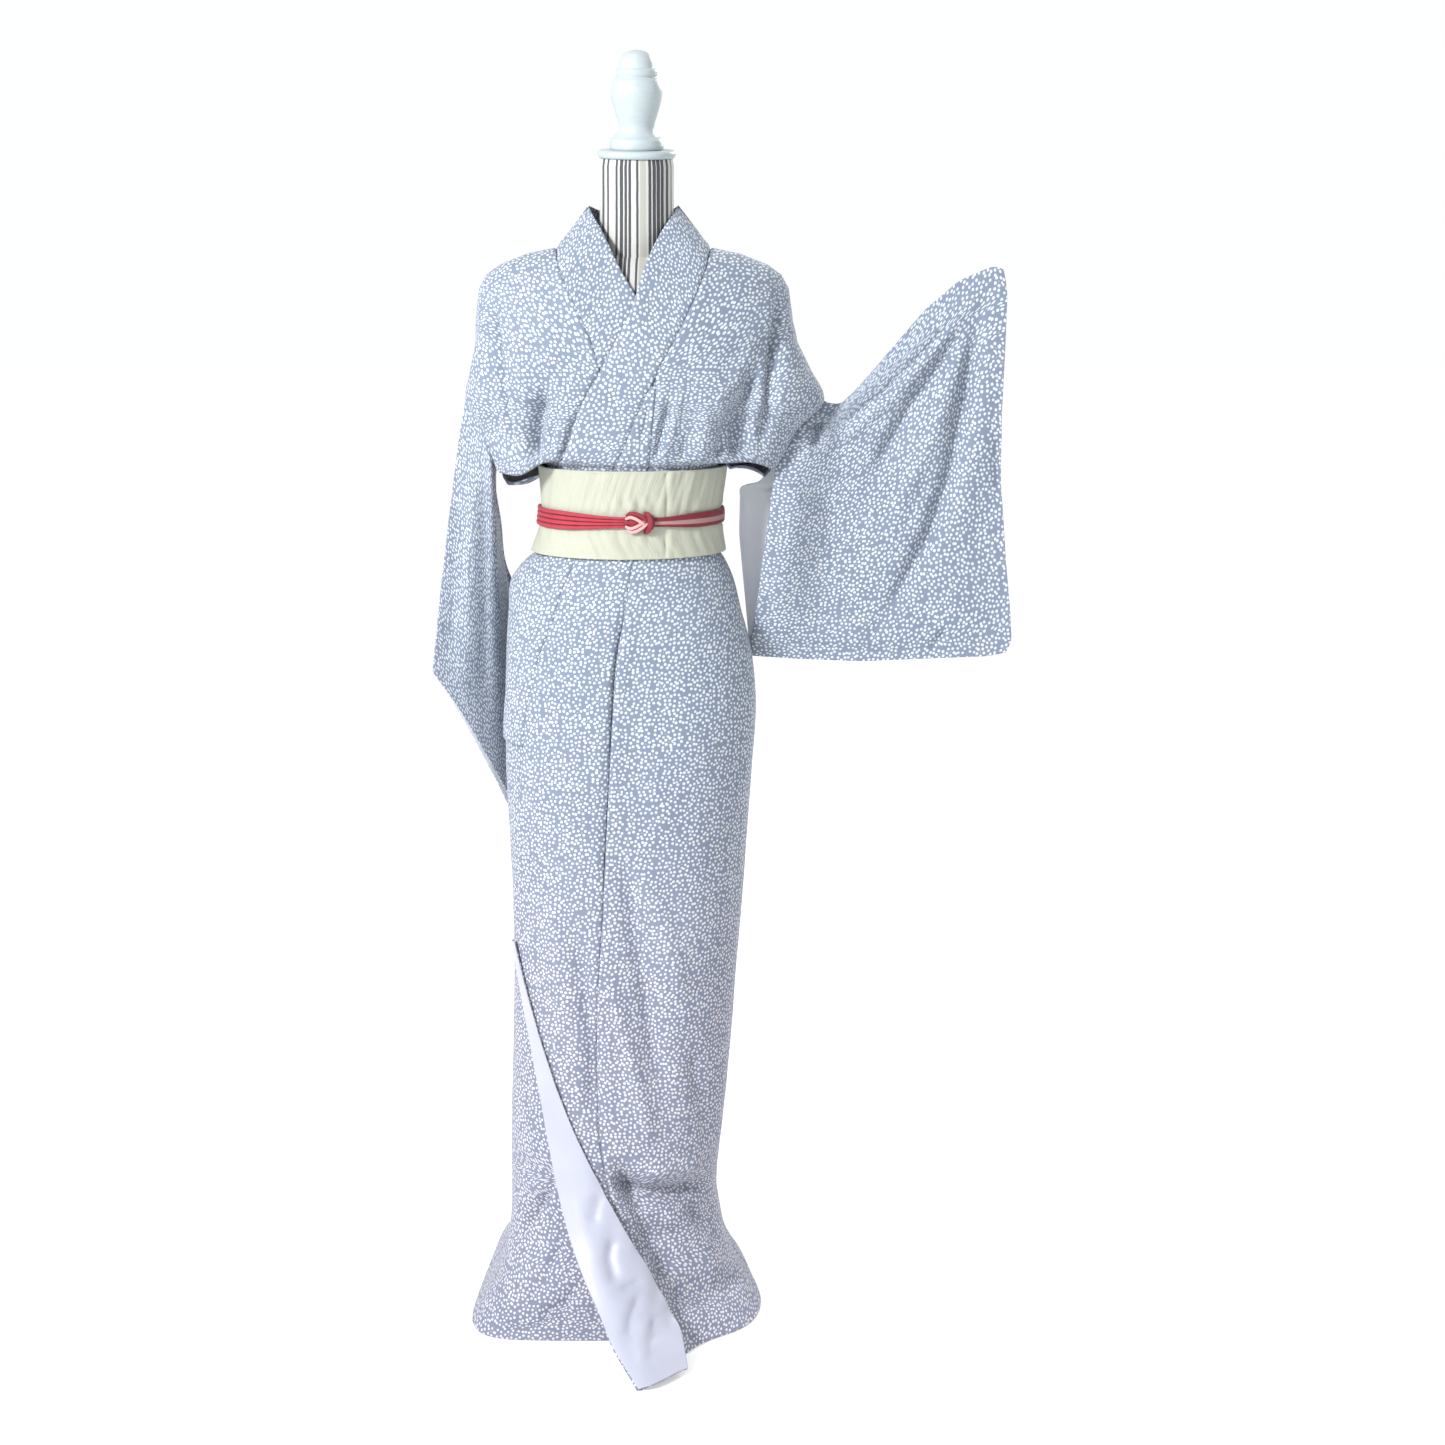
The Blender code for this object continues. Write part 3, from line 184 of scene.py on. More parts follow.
# Along the chest each row is the ring height of the seam and the place of the edge as seen from the
# front; the last rows also say how far forward it stands, the others lie on the rings.
ChestRow = namedtuple("ChestRow", "height edge_x edge_z edge_y", defaults=(None,))
UPPER_COLLAR = [ChestRow(*row) for row in metres(
    (800, -179, 800), (850, -174.5, 850), (920, -163, 920), (975, -151, 975), (1015, -140, 1015),
    (1040, -122, 1040), (1056, -113, 1056), (1085, -105, 1085), (1145, -97, 1145), (1174, -94, 1174),
    (1198, -86, 1199), (1209, -78.5, 1217), (1236, -64, 1252), (1262, -42, 1290), (1296, -22, 1328),
    (1330, 1, 1372),
    (1375, 18, 1427, -88), (1416, 31.5, 1459, -60), (1449, 42.5, 1479, -42), (1474, 51.2, 1491.5, -29),
    (1510, 58.5, 1504, -10),
)]
UNDER_COLLAR = [ChestRow(*row) for row in metres(
    (800, -140, 800), (920, -128, 920), (1015, -112, 1015), (1056, -97, 1056), (1174, -78, 1174),
    (1209, -67, 1217), (1262, -45, 1290), (1296, -31, 1328),
    (1330, -16, 1372, -107.5), (1375, 15.5, 1427, -80), (1416, 31.5, 1459, -60),
    (1449, 42.5, 1479, -42), (1474, 50, 1490, -29), (1510, 58, 1503, -10),
)]

# Largest folds of the front, as seen from the front: where each starts and ends, its half width and
# how far it stands out (+) or in (-)
Fold = namedtuple("Fold", "x0 z0 x1 z1 half depth")
FOLDS = [Fold(*row) for row in metres(
    (-196, 1385, -176, 1175, 12, -10), (-137, 1270, -140, 1175, 15, -9), (198, 1375, 160, 1185, 12, -9),
    (142, 1290, 128, 1180, 15, -9), (-80, 980, -100, 300, 30, 2), (80, 960, 70, 300, 35, 2.5),
    (10, 900, 0, 350, 30, -2), (-10, 135, 70, 118, 14, -6), (70, 118, 112, 128, 14, -7),
)]

# Hanging sleeve, along its depth from the top fold: plan place where it hangs, its upper edge there
# with the front and the back wall apart, and the heights of its upper and lower edges
Hang = namedtuple("Hang", "depth x y top_x front_y back_y top bottom")
HANGING = [Hang(*row) for row in metres(
    (0, -279, -15, -226.2, 0, 0, 1253, 888), (35, -248, 4, -203.8, -19, 19, 1216.5, 832),
    (70, -222, 24, -196.2, -24, 24, 1195, 776), (100, -203, 43, -190.8, -26.4, 27.5, 1176, 730),
    (113, -196, 52, -190, -20, 33, 1164, 712), (130, -187, 63, -192.5, -4, 38, 1140, 687),
    (160, -172, 84, -193.5, 35, 55, 1085, 650), (205, -137, 114, -188, 80, 86, 1010, 594),
    (250, -100, 134, -145, 120, 120, 930, 548), (300, -54, 146, -75, 144, 144, 860, 504),
    (340, -10, 152, -20, 152, 152, 820, 486),
)]
HANG_ROWS = 10
HANG_ROOM = 0.0042  # how far each wall stands from their middle where the sleeve is open
HANG_TOP_GAP = 0.0012  # between its upper edge and the armhole
HANG_CURVE = 0.85  # how soon it comes to its own place below its upper edge: 1 is evenly
HANG_SEWN = (0.09, 0.15)  # depths between which it is sewn to the armhole, and its walls meet
# Depths between which it opens at the top fold, closes at its back, and closes along its bottom
HANG_OPEN, HANG_CLOSE, HANG_BOTTOM = (0.0, 0.05), (0.29, 0.34), (0.17, 0.22)

# Spread sleeve as seen from the front: corners and edges, as distance from the middle and height
SPREAD_TOP = metres(
    (252, 1254), (262, 1250), (277, 1250.5), (297, 1270), (340, 1320), (385, 1373), (430, 1411),
    (472, 1429), (487, 1425),
)
SPREAD_CUFF = metres(
    (487, 1425), (492, 1399), (491, 1320), (489, 1240), (492, 1140), (501, 1040), (510, 960),
    (511, 930), (504, 913),
)
SPREAD_BOTTOM = metres(
    (157, 908), (230, 904), (307, 901), (400, 905), (480, 908), (504, 913),
)
SPREAD_FRONT_EDGE = metres(
    (252, 1254), (216, 1214.5), (192.5, 1176.5), (184, 1130), (178, 1080), (168, 1001), (160, 940),
    (157, 908),
)
SPREAD_BACK_EDGE = metres(
    (252, 1254), (216, 1214.5), (192.5, 1176.5), (172, 1143), (144, 1136), (142.5, 1070), (149, 1000),
    (155, 935), (157, 908),
)
# How far its walls stand from its middle at the body side, by share of that side from the top down
SPREAD_ROOM = ((0.00, 0.000), (0.07, 0.010), (0.14, 0.0190), (0.26, 0.0275), (0.40, 0.036),
               (0.55, 0.040), (0.75, 0.032), (0.90, 0.012), (1.00, 0.000))
SPREAD_START = 0.006  # how far along from the armhole its cloth starts
SPREAD_BACK = 0.004  # how far its middle lies towards the front
CUFF_ROOM = 0.008  # how far its walls stand from its middle at the open cuff

OBI_LEVELS = (1.0545, 1.0700, 1.0850, 1.1100, 1.1450, 1.1690)
OBI_EASE = 0.0006  # between the obi and the collar under it, besides REST
OBI_LAP = 0.0050  # how much thicker the obi is where its end lies over its start
OBI_TURN = 372.0  # degrees that the obi runs round before its end is tucked
CORD_HEIGHT = 1.103
CORD_STRAND = 0.0027  # half the room that one strand takes up
CORD_HALF, CORD_THICK = 0.0098, 0.0044  # half width and thickness of the doubled cord
CORD_SQUARE = 0.62  # how square a cord is across: 1 is an oval, less is squarer
KNOT_AT = 8.2  # where the knot sits, in degrees from the front

# Covered torso below the shoulders: height, half width, depth
TORSO = metres(
    (780, 40, 40), (782, 110, 82), (800, 124, 92), (860, 136, 100), (930, 140, 102), (1000, 130, 97),
    (1060, 106, 90), (1110, 98, 85), (1160, 104, 88), (1210, 122, 94), (1260, 148, 100),
    (1300, 172, 104),
)
TORSO_HALF, TORSO_DEPTH = 0.190, 0.107
TORSO_RIDGE = metres(
    (0, 1456), (70, 1454), (105, 1452), (140, 1445), (176, 1430), (190, 1410), (200, 1370),
)
SEAT = 0.0013  # the shoulders of the form below the middle of the cloth that rests on them

FINIAL = metres(
    (0, 123.5), (11, 121.5), (18, 116.5), (21.5, 110), (22.5, 105), (23.5, 101), (26.2, 99),
    (26.5, 92.5), (25.5, 90.5), (29, 87), (32.5, 78), (33, 69), (31, 58), (27, 44), (23.5, 33),
    (23, 27), (25, 21), (28.5, 16.5), (33, 13), (34.5, 8.5), (34.5, 0.3), (0, 0.3),
)
NECK_DISC = metres(
    (0, 10.3), (47, 10.3), (50, 9), (51.2, 6), (50, 2.5), (48.5, 0.4), (0, 0.4),
)
FINIAL_OVER = 0.0106  # the finial's foot above the neck's top, over the disc
POLE_LOW, POLE_HIGH = FOOT_HEIGHT + 0.0004, TORSO[0][0] - 0.0004
POLE = [(0.0, POLE_HIGH), (POLE_RADIUS, POLE_HIGH), (POLE_RADIUS, POLE_LOW), (0.0, POLE_LOW)]
FOOT = [
    (0.0, FOOT_HEIGHT), (0.026, FOOT_HEIGHT), (0.050, 0.018), (FOOT_RADIUS - 0.006, 0.013),
    (FOOT_RADIUS, 0.009), (FOOT_RADIUS, 0.0), (0.0, 0.0),
]


def mix(a, b, share):
    return a + (b - a) * share


def step(value, start, end):
    """0 before start, 1 after end, and a soft rise between."""
    share = min(1.0, max(0.0, (value - start) / (end - start)))
    return share * share * (3 - 2 * share)


def table_at(table, key):
    """A value from a table of (key, value) rows, straight between the rows."""
    if key <= table[0][0]:
        return table[0][1]
    for (k0, v0), (k1, v1) in zip(table, table[1:]):
        if key <= k1:
            return mix(v0, v1, (key - k0) / (k1 - k0))
    return table[-1][1]


def along(points, share):
    """The point at a share of the length of a line through the points."""
    points = [Vector(point) for point in points]
    lengths = [(b - a).length for a, b in zip(points, points[1:])]
    left = share * sum(lengths)
    for a, b, length in zip(points, points[1:], lengths):
        if left <= length:
            return a.lerp(b, left / length)
        left -= length
    return points[-1]


def ring_at(height):
    """The ring at a ring height, read between the rows of the table."""
    for low, high in zip(RINGS, RINGS[1:]):
        if height <= high.mid:
            share = max(0.0, (height - low.mid) / (high.mid - low.mid))
            return Ring(*(mix(a, b, share) for a, b in zip(low, high)))
    return RINGS[-1]


def ring_point(ring, degrees, out=0.0):
    """A point of the ring: 0 degrees is the front, 90 the wearer's left side, 180 the back."""
    angle = math.radians(degrees)
    s, c = math.sin(angle), math.cos(angle)
    square = ring.square * (table_at(RIGHT_CORNER, ring.mid) if s < 0 else 1)
    boxy = (abs(s) ** square + abs(c) ** square) ** (-1 / square)
    taper = table_at(LEFT_TAPER if s > 0 else RIGHT_TAPER, ring.mid)
    depth = ring.front if c >= 0 else ring.back
    x = ring.centre + ring.half * s * boxy * (1 + taper * c * boxy)
    y = -depth * c * boxy - math.copysign(SEAM / 2, c)
    z = mix(ring.mid, ring.side, s * s)
    if ring.dome > 0:
        z = DOME_BASE + ring.dome * (table_at(RIDGE, abs(x)) - DOME_BASE)
    away = Vector((s / ring.half, -c / max(depth, 0.02), 0)).normalized()
    lift = ring.dome * math.sqrt(max(0.0, 1 - away.x**2)) if ring.dome else 0.0
    return Vector((x, y, z)) + (away * (1 - lift * ring.dome) + Vector((0, 0, lift))) * out


def angle_at(ring, x):
    """The angle, from the front, where the ring lies at this distance from the middle."""
    low, high = -90.0, 90.0
    for _ in range(40):
        middle = (low + high) / 2
        if ring_point(ring, middle).x < x:
            low = middle
        else:
            high = middle
    return (low + high) / 2


def turned_at(height, column):
    return table_at([(row.height, getattr(row, column)) for row in TURNED], height)


def upper_out(ring, degrees):
    """How far outside the rings the upper front lies: nothing at its side seam and at the shoulder."""
    return LAYER * (1 - step(degrees, *LAYER_SIDE)) * (1 - step(ring.mid, *LAYER_SHOULDER))


def front_point(ring, degrees, upper):
    """A point of a front panel without its folds; the upper one is pulled forward at the hem."""
    over = upper_out(ring, degrees) if upper else 0.0
    over_pouch = over * step(ring.mid, *POUCH_FROM) * (1 - step(ring.mid, *POUCH_TO))
    point = ring_point(ring, degrees, over + 0.3 * over_pouch)
    point.z -= 0.7 * over_pouch
    if upper and ring.mid < TURNED[-1].height:
        reach = PULL_REACH + PULL_SPREAD * ring.mid
        beyond = (point.x - turned_at(ring.mid, "fold")) / reach
        point.y -= turned_at(ring.mid, "pull") * math.exp(-(beyond**2))
    return point


def on_front(x, z, upper):
    """The point of a front panel at a place as seen from the front."""
    low, high = 0.0, RIDGE_MID
    for _ in range(30):
        height = (low + high) / 2
        ring = ring_at(height)
        if ring_point(ring, angle_at(ring, x)).z < z:
            low = height
        else:
            high = height
    ring = ring_at((low + high) / 2)
    return front_point(ring, angle_at(ring, x), upper)


def upper_surface(x, height):
    ring = ring_at(height)
    return front_point(ring, angle_at(ring, x), True)


def panel_rows(low, high):
    """Ring heights of a panel from low to high, at the rows of the table."""
    inner = [ring.mid for ring in RINGS if low + 0.002 < ring.mid < high - 0.002]
    return [low] + inner + [high]


def okumi_edge(height, upper):
    """Free side of an okumi as seen from the front: the collar seam, and below it its own edge."""
    if height >= COLLAR_SEAM[0][0]:
        return table_at(COLLAR_SEAM if upper else UNDER_COLLAR_SEAM, height)
    if not upper:
        ring = ring_at(height)
        return -min(UNDER_HIDDEN_EDGE, ring.centre + 0.86 * ring.half)
    if height <= TURNED[-1].height:
        return turned_at(height, "fold")
    return mix(TURNED[-1].fold, COLLAR_SEAM[0][1], step(height, TURNED[-1].height, COLLAR_SEAM[0][0]))


def collar_edge(table, height):
    """Inner edge of a collar beside a ring height, read between the rows of its table."""
    for low, high in zip(table, table[1:]):
        if height <= high.height + 0.0005:
            share = min(1.0, max(0.0, (height - low.height) / (high.height - low.height)))
            free = high.edge_y is not None and (low.edge_y is not None or share > 0.95)
            depth = mix(low.edge_y or high.edge_y, high.edge_y, share) if free else None
            return mix(low.edge_x, high.edge_x, share), mix(low.edge_z, high.edge_z, share), depth


def hang_aside(index, top):
    """The way that the hanging sleeve's front wall faces in plan, at its upper or lower edge."""
    before, after = HANGING[max(index - 1, 0)], HANGING[min(index + 1, len(HANGING) - 1)]
    if not top:
        return Vector((after.y - before.y, before.x - after.x)).normalized()
    if HANGING[index].depth < 0.11:
        return Vector((0.0, -1.0))
    return Vector((after.back_y - before.back_y, before.top_x - after.top_x)).normalized()


def spread_point(u, v, face, edge):
    """A point of the spread sleeve: u runs from the armhole to the cuff, v from the top fold down."""
    top, bottom = along(SPREAD_TOP, u), along(SPREAD_BOTTOM, u)
    near, far = along(edge, v), along(SPREAD_CUFF, v)
    corners = (
        Vector(SPREAD_TOP[0]) * (1 - u) * (1 - v)
        + Vector(SPREAD_TOP[-1]) * u * (1 - v)
        + Vector(SPREAD_BOTTOM[0]) * (1 - u) * v
        + Vector(SPREAD_BOTTOM[-1]) * u * v
    )
    flat = top * (1 - v) + bottom * v + near * (1 - u) + far * u - corners
    body = table_at(SPREAD_ROOM, v) * (1 - step(u, 0.0, 0.30))
    open_cuff = CUFF_ROOM * step(v, 0.0, 0.08) * (1 - step(v, 0.40, 0.52) * step(u, 0.75, 1.0))
    room = body + open_cuff * (1 - step(v, 0.90, 1.0)) * step(u, 0.0, 0.1)
    half = CLOTH / 2 + REST / 2 + room
    return Vector((flat.x, -SPREAD_BACK * step(u, 0.0, 0.2) + face * half, flat.y))


def obi_out():
    """Middle of the obi outside the rings, clear of the collar under it."""
    return LAYER + COLLAR_WALL / 2 + REST + OBI_EASE + OBI_WALL / 2


# Smaller folds, as seen from the front: the line they follow, half width, depth (+ out, - in), and
# lip, how steep the side on the left of the line is (0 even, 1 an edge)
Crease = namedtuple("Crease", "line half depth lip", defaults=(0.0,))


def creases(*rows):
    """Creases from rows in millimetres: half width, depth, and the points of the line."""
    return [Crease(metres(*line), half / 1000, depth / 1000) for half, depth, *line in rows]


BODY_CREASES = creases(
    (6.7, -15, (-188, 1401), (-182, 1367), (-179, 1324), (-170, 1261), (-163, 1206), (-156, 1172)),
    (10, -22, (-108, 1285), (-119, 1250), (-129, 1205), (-133, 1130)),
    (12.2, 4, (-144, 1361), (-140, 1259), (-149, 1199)),
    (4.1, -4, (-96, 1257), (-102, 1222), (-113, 1176)),
    (4.6, -7, (-70, 1246), (-81, 1220), (-96, 1176)),
    (5.7, -8, (53, 1272), (41, 1226), (26, 1171)),
    (6.1, 4, (65, 1282), (53, 1223), (37, 1176)),
    (4.1, -2.5, (24, 1259), (11, 1203)),
    (5.4, -4, (73, 1223), (62, 1175)),
    (12.2, -25, (170, 1325), (155, 1275), (143, 1221), (139, 1140)),
    (9, -13, (134, 1262), (118, 1208), (108, 1130)),
    (8.1, 4, (98, 1261), (91, 1210), (88, 1168)),
    (6.7, -15, (191, 1409), (191, 1361), (188, 1320), (183, 1269), (175, 1222), (167, 1194)),
    (5.4, 3, (172, 1269), (162, 1220), (159, 1194)),
    (21.6, 2.5, (-91, 1349), (-117, 1305), (-158, 1279)),
    (16.2, -4, (146, 1330), (114, 1280)),
)
SKIRT_CREASES = creases(
    (3.5, -4.8, (-6, 1046), (-20, 951), (-28, 872), (-37, 765), (-42, 682), (-47, 571)),
    (8.1, 1.5, (2, 1029), (-12, 925), (-23, 819), (-30, 710)),
    (10.8, -6, (-99, 596), (-75, 508), (-60, 402), (-61, 318), (-50, 249)),
    (13.5, -7, (-26, 689), (-7, 599), (11, 485), (26, 373), (42, 299)),
    (12.2, 4.5, (7, 654), (49, 528), (65, 441)),
    (10.8, 4.5, (-43, 515), (-11, 388), (12, 287), (18, 232)),
    (10.8, -4, (73, 396), (102, 217)),
    (21.6, 2, (9, 872), (28, 764), (34, 654)),
    (13.5, 3, (-125, 619), (-108, 511), (-85, 401)),
    (10.8, -17, (-45, 215), (10, 185), (58, 178), (112, 168)),
    (10.8, 7, (4, 217), (58, 211), (94, 210)),
    (6.7, -6, (69, 155), (83, 128)),
    (10.8, 6, (24, 162), (72, 119), (108, 61), (122, 39)),
    (9.5, -6, (28, 101), (58, 81)),
    (4.1, -3, (45, 79), (102, 50)),
    (11, -12, (30, 70), (86, 46), (160, 30)),
    (8.1, 4, (73, 22), (134, 5)),
    (5.4, -3.5, (-99, 115), (-123, 73), (-149, 29)),
    (6.7, -8, (-195, 9), (-134, 22), (-98, 40), (-74, 61)),
    (5.4, -5, (-104, 4), (-53, 5)),
    (5.4, 3, (-183, 5), (-105, 15)),
    (14, -10, (-35, 252), (-4, 188), (28, 116), (50, 48)),
)
SKIRT_CREASES += [crease._replace(lip=1.0) for crease in creases(
    (10.8, -11, (-116, 179), (-142, 139), (-171, 90)),
)]
SPREAD_CREASES = creases(
    (6.7, -15, (246, 1231), (239, 1190)),
    (9.5, -5, (271, 1245), (255, 1216)),
    (4.3, -4.5, (258, 1213), (289, 1232), (332, 1266), (392, 1326), (435, 1378)),
    (9.5, 5, (244, 1188), (286, 1212), (346, 1262), (399, 1319), (446, 1386)),
    (12.2, -14, (312, 1141), (344, 1202), (375, 1255), (399, 1295), (424, 1334), (440, 1363)),
    (12.2, 6, (335, 1069), (371, 1150), (404, 1224), (425, 1287), (437, 1329)),
    (11.5, -16, (323, 942), (364, 1010), (398, 1081), (423, 1161), (435, 1243), (449, 1321),
     (457, 1370), (469, 1401)),
    (16.2, 3, (422, 1041), (452, 1149), (465, 1255), (470, 1334)),
    (5.4, -7, (422, 947), (401, 917)),
    (16.2, -6, (215, 1175), (226, 1145), (267, 1112), (329, 1096)),
    (8.1, -5, (485, 1216), (489, 1121)),
    (6.7, -4, (212, 932), (291, 914), (387, 917)),
    (10.8, 5, (219, 1231), (220, 1190)),
)
HANG_CREASES = creases(
    (8, -3, (-200, 1210), (-206, 1000), (-214, 800)),
    (11, -3, (-232, 1230), (-242, 1050), (-262, 880)),
    (10, 3, (-216, 1200), (-226, 1000), (-240, 820)),
    (10, -2.2, (-250, 1120), (-222, 1060)),
)
FLAP_CREASES = creases(
    (8.1, -5, (-30, 148), (-36, 120), (-24, 88)),
    (4.1, -4, (9, 91), (-21, 88)),
    (6.1, -5.5, (7, 82), (-5, 61), (-9, 40)),
    (5.4, 4, (15, 60), (9, 39), (14, 21)),
    (6.7, -3, (22, 58), (31, 32)),
    (8.1, -2.5, (-49, 199), (-60, 157)),
    (8.1, 1.5, (-105, 370), (-70, 248)),
)


# The under side is pressed in along the edge of the upper collar
UNDER_CREASES = creases(
    (3.2, -4.5, (-97, 1120), (-94, 1174), (-86, 1199), (-78, 1217), (-64, 1252), (-42, 1290),
     (-22, 1328), (-6, 1358)),
)


def along_axis(grid, spacing):
    """A grid of points with more rows, on a smooth curve through the ones it has."""
    chord = np.linalg.norm(np.diff(grid, axis=0), axis=2)
    mean = np.maximum(chord.mean(axis=1), 1e-6)
    gap = np.sqrt(mean)
    slope = np.diff(grid, axis=0) / gap[:, None, None]
    tangent = np.empty_like(grid)
    weight = (gap[:-1] / (gap[:-1] + gap[1:]))[:, None, None]
    tangent[1:-1] = slope[1:] * weight + slope[:-1] * (1 - weight)
    tangent[0] = slope[0] if len(slope) < 2 else 1.5 * slope[0] - 0.5 * tangent[1]
    tangent[-1] = slope[-1] if len(slope) < 2 else 1.5 * slope[-1] - 0.5 * tangent[-2]
    rows = []
    for i in range(len(grid) - 1):
        count = max(1, math.ceil(mean[i] / spacing))
        for k in range(count):
            s = k / count
            a = (1 + 2 * s) * (1 - s) ** 2
            b = s * (1 - s) ** 2
            c = s * s * (3 - 2 * s)
            d = s * s * (s - 1)
            rows.append(
                a * grid[i] + b * gap[i] * tangent[i] + c * grid[i + 1] + d * gap[i] * tangent[i + 1]
            )
    rows.append(grid[-1])
    return np.array(rows)


def fine(grid, spacing, across=None):
    """A grid of points with rows and columns about as far apart as spacing."""
    grid = along_axis(np.array([[tuple(p) for p in row] for row in grid]), spacing)
    if across:
        grid = along_axis(grid.swapaxes(0, 1), across).swapaxes(0, 1)
    return grid


def with_edges(grid, steps=(0.0010, 0.0032)):
    """The grid with close lines of points beside its edges, so that an edge stays crisp."""
    for axis in (1, 0):
        grid = grid if axis == 0 else grid.swapaxes(0, 1)
        reach = np.linalg.norm(grid[1] - grid[0], axis=1).mean()
        head = [grid[0] + (grid[1] - grid[0]) * s / reach for s in steps if s < 0.8 * reach]
        reach = np.linalg.norm(grid[-1] - grid[-2], axis=1).mean()
        foot = [grid[-1] + (grid[-2] - grid[-1]) * s / reach for s in steps[::-1] if s < 0.8 * reach]
        grid = np.array([grid[0], *head, *grid[1:-1], *foot, grid[-1]])
        grid = grid if axis == 0 else grid.swapaxes(0, 1)
    return grid


def facing(grid, toward=None):
    """The way that each point of a grid faces, turned away from the middle or toward a direction."""
    across, up = np.gradient(grid, axis=1), np.gradient(grid, axis=0)
    normal = np.cross(across, up)
    normal /= np.maximum(np.linalg.norm(normal, axis=2, keepdims=True), 1e-12)
    away = np.array(toward) if toward else grid * (1, 1, 0)
    return normal if (normal * away).sum() >= 0 else -normal


def smooth(value, start, end):
    share = np.clip((value - start) / (end - start), 0, 1)
    return share * share * (3 - 2 * share)


def bump(off, half):
    return np.exp(-((off / half) ** 2))


def run_along(line):
    """How far along a line of points each of them lies."""
    return np.concatenate([[0.0], np.cumsum(np.linalg.norm(np.diff(line, axis=0), axis=1))])


def run_across(grid):
    """How far each point of a grid lies from the grid's first edge, along its row."""
    run = np.linalg.norm(np.diff(grid, axis=1), axis=2)
    return np.concatenate([np.zeros((len(grid), 1)), np.cumsum(run, axis=1)], axis=1)


def crease_moves(x, z, lines):
    """How far the creases move the cloth out at places as seen from the front."""
    moved = np.zeros_like(x)
    for crease in lines:
        line = np.array(crease.line)
        lengths = np.linalg.norm(np.diff(line, axis=0), axis=1)
        total, done = lengths.sum(), 0.0
        nearest, side, share = np.full_like(x, 1e3), np.zeros_like(x), np.zeros_like(x)
        for (x0, z0), (x1, z1), length in zip(line, line[1:], lengths):
            dx, dz = (x1 - x0) / length, (z1 - z0) / length
            run = (x - x0) * dx + (z - z0) * dz
            inside = np.clip(run, 0, length)
            off = np.hypot(x - x0 - inside * dx, z - z0 - inside * dz)
            closer = off < nearest
            nearest = np.where(closer, off, nearest)
            side = np.where(closer, (x - x0) * dz - (z - z0) * dx, side)
            share = np.where(closer, (done + inside) / total, share)
            done += length
        half = np.where(side < 0, crease.half * (1 - 0.8 * crease.lip), crease.half)
        ends = smooth(share, 0.0, 0.25) * (1 - smooth(share, 0.75, 1.0))
        ends = np.maximum(ends, 0.18)
        moved += crease.depth * ends * bump(nearest, half)
    return moved


def ripples(x, z, wave=0.11, seed=1):
    """A slight unevenness, from -1 to 1, with no repeat that shows."""
    total = np.zeros_like(x)
    for i in range(6):
        turn = seed * 1.7 + i * 2.4
        size = TAU / (wave * (0.55 + 0.27 * i))
        total += np.sin(size * (x * math.cos(turn) + z * math.sin(turn)) + seed * 3.1 + i * 1.3)
    return total / 6


FRAME_CREASES = [
    Crease(((fold.x0, fold.z0), (fold.x1, fold.z1)), fold.half, fold.depth) for fold in FOLDS
]
HEM_DEEPER, HEM_FROM = 0.55, (0.35, 0.62)  # how much deeper the creases are near the hem, and where


# Heights between which the folds fade away: at the floor and the shoulders, and below and above the obi
AT_FLOOR, AT_SHOULDERS = (0.001, 0.030), (1.400, 1.440)
BELOW_OBI, ABOVE_OBI = (1.030, 1.052), (1.176, 1.190)


def calm(z):
    """How freely the folds lie at a height: 0 at the floor, under the obi and at the shoulders."""
    obi = smooth(z, *BELOW_OBI) * (1 - smooth(z, *ABOVE_OBI))
    return smooth(z, *AT_FLOOR) * (1 - obi) * (1 - smooth(z, *AT_SHOULDERS))


def front_folds(grid, extra=()):
    """A front grid with its folds: all that lies in front moves alike, so layers stay apart."""
    out = facing(grid)
    x, z = grid[:, :, 0], grid[:, :, 2]
    low = 1 + HEM_DEEPER * (1 - smooth(z, *HEM_FROM))
    moved = crease_moves(x, z, FRAME_CREASES)
    moved += low * crease_moves(x, z, BODY_CREASES + SKIRT_CREASES + list(extra))
    moved += 0.0011 * ripples(x, z) + 0.0006 * ripples(x, z, 0.045, 2)
    faces = np.clip(-out[:, :, 1], 0, 1) ** 0.5
    return grid + out * (moved * calm(z) * faces)[:, :, None]


# How the bodice's lower edge hangs: place aside, half width, and how far up (+) or down (-)
POUCH_HANGS = ((0.160, 0.028, 0.008), (-0.150, 0.026, -0.013))
BACK_HANGS = 0.022  # how far down it hangs on both sides of the back
BACK_HANGS_FROM, BACK_HANGS_TO = (0.112, 0.130), (0.172, 0.190)


def pouch(grid, back=False):
    """The bodice hangs lower over the wearer's right hip than over the left, and lower at the back."""
    x, z = grid[:, :, 0], grid[:, :, 2]
    moved = sum(up * bump(x - place, half) for place, half, up in POUCH_HANGS)
    if back:
        aside = smooth(np.abs(x), *BACK_HANGS_FROM) * (1 - smooth(np.abs(x), *BACK_HANGS_TO))
        moved = moved - BACK_HANGS * aside
    made = grid.copy()
    made[:, :, 2] += moved * smooth(z, 1.155, 1.162) * (1 - smooth(z, 1.200, 1.270))
    return made


